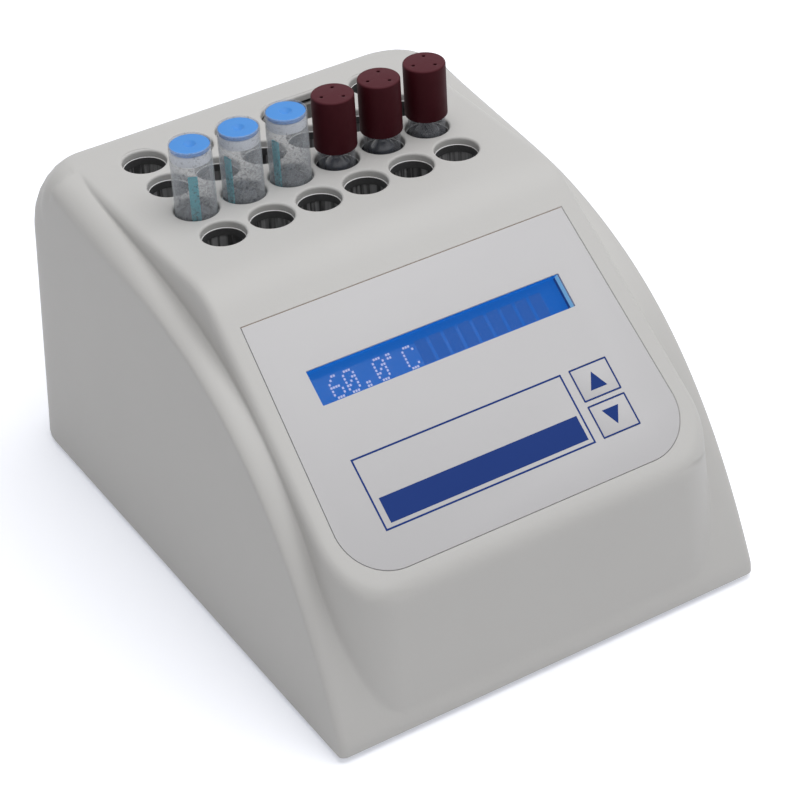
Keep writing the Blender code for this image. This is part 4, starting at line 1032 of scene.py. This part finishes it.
vial = {
    "wall": 0.25 * mm,
    "floor": 1.2 * mm,
    "foot": (2.0 * mm, 1.4 * mm),  # radii outside and inside at the floor
    "lip": 0.12 * mm,
    "capRadius": 4.6 * mm,
    "flange": 1.0 * mm,
    "ring": 2.6 * mm,  # height
    "capEdge": 0.25 * mm,
    "plug": 0.9 * mm,  # its radius less than the cap's
    "dimple": 0.7 * mm,
    "hoodRoof": 1.6 * mm,
    "hoodEdge": 0.5 * mm,
    "hoodRadius": 5.05 * mm,
    "hoodLift": 1.9 * mm,  # of the hood's lower edge
    "hoodedTube": 4.4 * mm,  # radius
    "ventRadius": 0.42 * mm,
    "ventRing": 2.9 * mm,
    "ventTurns": (60, 180, 300),
}


def turned(n, part, profile, sides=72, ring=False):
    # a piece turned about the middle of the vial's tube
    centre = boxOf(f"vial_{n}_tube")[2]
    return makeObject(f"vial{n}{part}", lathe(profile, (*centre, 0), sides, ring))


def vialPiece(n, piece, look, node):
    return dress(piece, look, [f"vial_{n}_{node}"], f"vial_{n}")


def buildTube(n, look="tube", widest=1.0):
    low, high, _, (half, _) = boxOf(f"vial_{n}_tube")
    r, wall, floor = min(half, widest), vial["wall"], low.z + vial["floor"]
    outside, inside = vial["foot"]
    profile = rounded([(0, low.z, 0), (r, low.z, outside), (r, high.z, vial["lip"]),
                       (r - wall, high.z, vial["lip"]), (r - wall, floor, inside), (0, floor, 0)], 6)
    vialPiece(n, turned(n, "Tube", profile), look, "tube")
    return r


def buildAmpoule(n, tubeRadius, look="ampoule"):
    low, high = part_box(f"vial_{n}_ampoule")
    axis, clear = boxOf(f"vial_{n}_tube")[2][0], 0.3 * mm
    r = min(high.x - axis, tubeRadius - vial["wall"] - clear)
    neck = r * 0.45
    profile = rounded([(0, low.z, 0), (r, low.z, r * 0.8), (r, high.z - r * 1.1, 1.2 * mm),
                       (neck, high.z - r * 0.5, 0.8 * mm), (neck, high.z, neck * 0.7), (0, high.z, 0)], 6)
    vialPiece(n, turned(n, "Ampoule", profile, 40), look, "ampoule")


def buildBlueVial(n):
    tubeRadius = buildTube(n)
    low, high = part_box(f"vial_{n}_cap")
    r, edge, dimple = vial["capRadius"], vial["capEdge"], vial["dimple"]
    flange, plug = high.z - vial["flange"], high.x - boxOf(f"vial_{n}_tube")[2][0] - vial["plug"]
    profile = rounded([(0, low.z, 0), (plug, low.z, edge), (plug, flange, 0), (r, flange, edge / 2),
                       (r, high.z, edge), (dimple * 2.2, high.z, 0.15 * mm),
                       (dimple * 0.7, high.z - dimple, 0), (0, high.z - dimple, 0)])
    vialPiece(n, turned(n, "Cap", profile), "blueCap", "cap")
    soft, top, inner = 0.25 * mm, flange - 0.1 * mm, plug + 0.1 * mm
    bottom = top - vial["ring"]
    profile = rounded([(inner, bottom, soft), (r, bottom, soft), (r, top, soft), (inner, top, soft)])
    vialPiece(n, turned(n, "Ring", profile, ring=True), "paper", "ring")
    buildAmpoule(n, tubeRadius)


def buildHoodedVial(n):
    tubeRadius = buildTube(n, "hoodedTube", vial["hoodedTube"])
    low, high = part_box(f"vial_{n}_cap")
    r, edge, under = vial["hoodRadius"], vial["hoodEdge"], high.z - vial["hoodRoof"]
    inner, foot = tubeRadius + 0.2 * mm, low.z + vial["hoodLift"]
    profile = rounded([(0, high.z, 0), (r, high.z, edge), (r, foot, 0.3 * mm), (inner, foot, 0.15 * mm),
                       (inner, under, 0.3 * mm), (0, under, 0)])
    cx, cy = boxOf(f"vial_{n}_tube")[2]
    vent = flared(vial["ventRadius"], under - 1 * mm, high.z, 0.12 * mm, 1 * mm, 3)
    turns, ring = (math.radians(turn) for turn in vial["ventTurns"]), vial["ventRing"]
    vents = [lathe(vent, (cx + ring * math.cos(t), cy + ring * math.sin(t), 0), 20) for t in turns]
    hood = carve(turned(n, "Hood", profile), makeObject(f"vial{n}Vents", *vents))
    vialPiece(n, hood, "maroon", "cap")
    buildAmpoule(n, tubeRadius, "ampoule" if n == vialCount else "medium")


for number in range(1, vialCount + 1):
    if number <= blueCount:
        buildBlueVial(number)
    else:
        buildHoodedVial(number)
print("vials")


# Carried-over CAD parts get their own looks

corners = ("front_left", "front_right", "back_left", "back_right")
carried = {
    "base": ["base_plate"],
    "rubber": [f"{corner}_foot" for corner in corners],
    "steel": [f"{corner}_screw" for corner in corners] + ["temperature_sensor"],
    "board": ["key_board", "lcd_board", "control_board", "terminal_block"],
    "blackPlastic": ["tact_switch_up", "tact_switch_down", "lcd_bezel", "thermal_cutout", "microcontroller",
                     "power_transistor", "power_inlet", "rocker_housing", "power_rocker"],
    "aluminium": ["heater_clamp", "capacitor", "heat_sink"],
    "felt": ["block_insulation"],
    "silicone": ["heater_pad"],
    "teal": [f"vial_{n}_strip" for n in range(1, blueCount + 1)],
}
for look, names in carried.items():
    for name in names:
        nodes[name].data.materials.clear()
        nodes[name].data.materials.append(looks[look].material)
print("carried over:", sum(len(names) for names in carried.values()))


# Floor, light and camera

studio = {
    "floor": 3.0,  # half its width
    "floorColour": (0.9, 0.9, 0.91),
    "floorGlow": (0.36, 0.375, 0.42),  # to the camera, mirrors and glass
    "world": 0.38,
    "keyPlace": (0.25, -0.13, 1.1),
    "keySize": 1.2,
    "keyPower": 8.7,
}
camera = {
    "place": (-253.553 * mm, -381.331 * mm, 404.157 * mm),  # from the front of the housing
    "azimuth": 29.719,  # from +Y towards +X
    "elevation": 35.671,  # looking down
    "roll": -3.443,
    "lens": 121.95,
    "sensor": 36.0,
}


def buildFloor():
    corners = studio["floor"] * np.array([[-1, -1, 0], [1, -1, 0], [1, 1, 0], [-1, 1, 0]])
    floor = makeObject("floor", (corners, np.array([[0, 1, 2, 3]])))
    look = Look("floorWhite", Base_Color=studio["floorColour"], Emission_Strength=1.0)
    look.set(Roughness=look.noise(4.0) * 0.05 + 0.85,
             Emission_Color=look.mix(look.seenRays(), (0, 0, 0), studio["floorGlow"]))
    floor.data.materials.append(look.material)


def buildLight():
    # a plain world for the object, and white where it is seen
    world = bpy.data.worlds.new("studio")
    bpy.context.scene.world = world
    world.use_nodes = True
    sky = Shading(world.node_tree)
    plain, white = (sky.node("ShaderNodeBackground", None, {"Color": (1, 1, 1), "Strength": strength})
                    for strength in (studio["world"], 1.0))
    blend = sky.node("ShaderNodeMixShader", None, {0: sky.seenRays(), 1: plain, 2: white})
    sky.node("ShaderNodeOutputWorld", None, {"Surface": blend})

    lamp = bpy.data.lights.new("key", "AREA")
    lamp.shape, lamp.size, lamp.energy = "DISK", studio["keySize"], studio["keyPower"]
    light = linked("key", lamp)
    light.location = studio["keyPlace"]
    light.rotation_euler = (-Vector(studio["keyPlace"])).to_track_quat("-Z", "Y").to_euler()
    bpy.context.scene.view_settings.view_transform = "Standard"


def buildCamera():
    eye = linked("camera", bpy.data.cameras.new("camera"))
    eye.data.lens, eye.data.sensor_width = camera["lens"], camera["sensor"]
    azimuth, elevation = math.radians(camera["azimuth"]), math.radians(camera["elevation"])
    ahead = Vector((math.sin(azimuth) * math.cos(elevation), math.cos(azimuth) * math.cos(elevation),
                    -math.sin(elevation)))
    roll = Matrix.Rotation(math.radians(camera["roll"]), 3, "Z")
    turn = ahead.to_track_quat("-Z", "Y").to_matrix() @ roll
    place = Vector(camera["place"]) + Vector((0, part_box("housing_shell")[0].y, 0))
    eye.matrix_world = Matrix.Translation(place) @ turn.to_4x4()
    bpy.context.scene.camera = eye


buildFloor()
buildLight()
buildCamera()
print("studio")
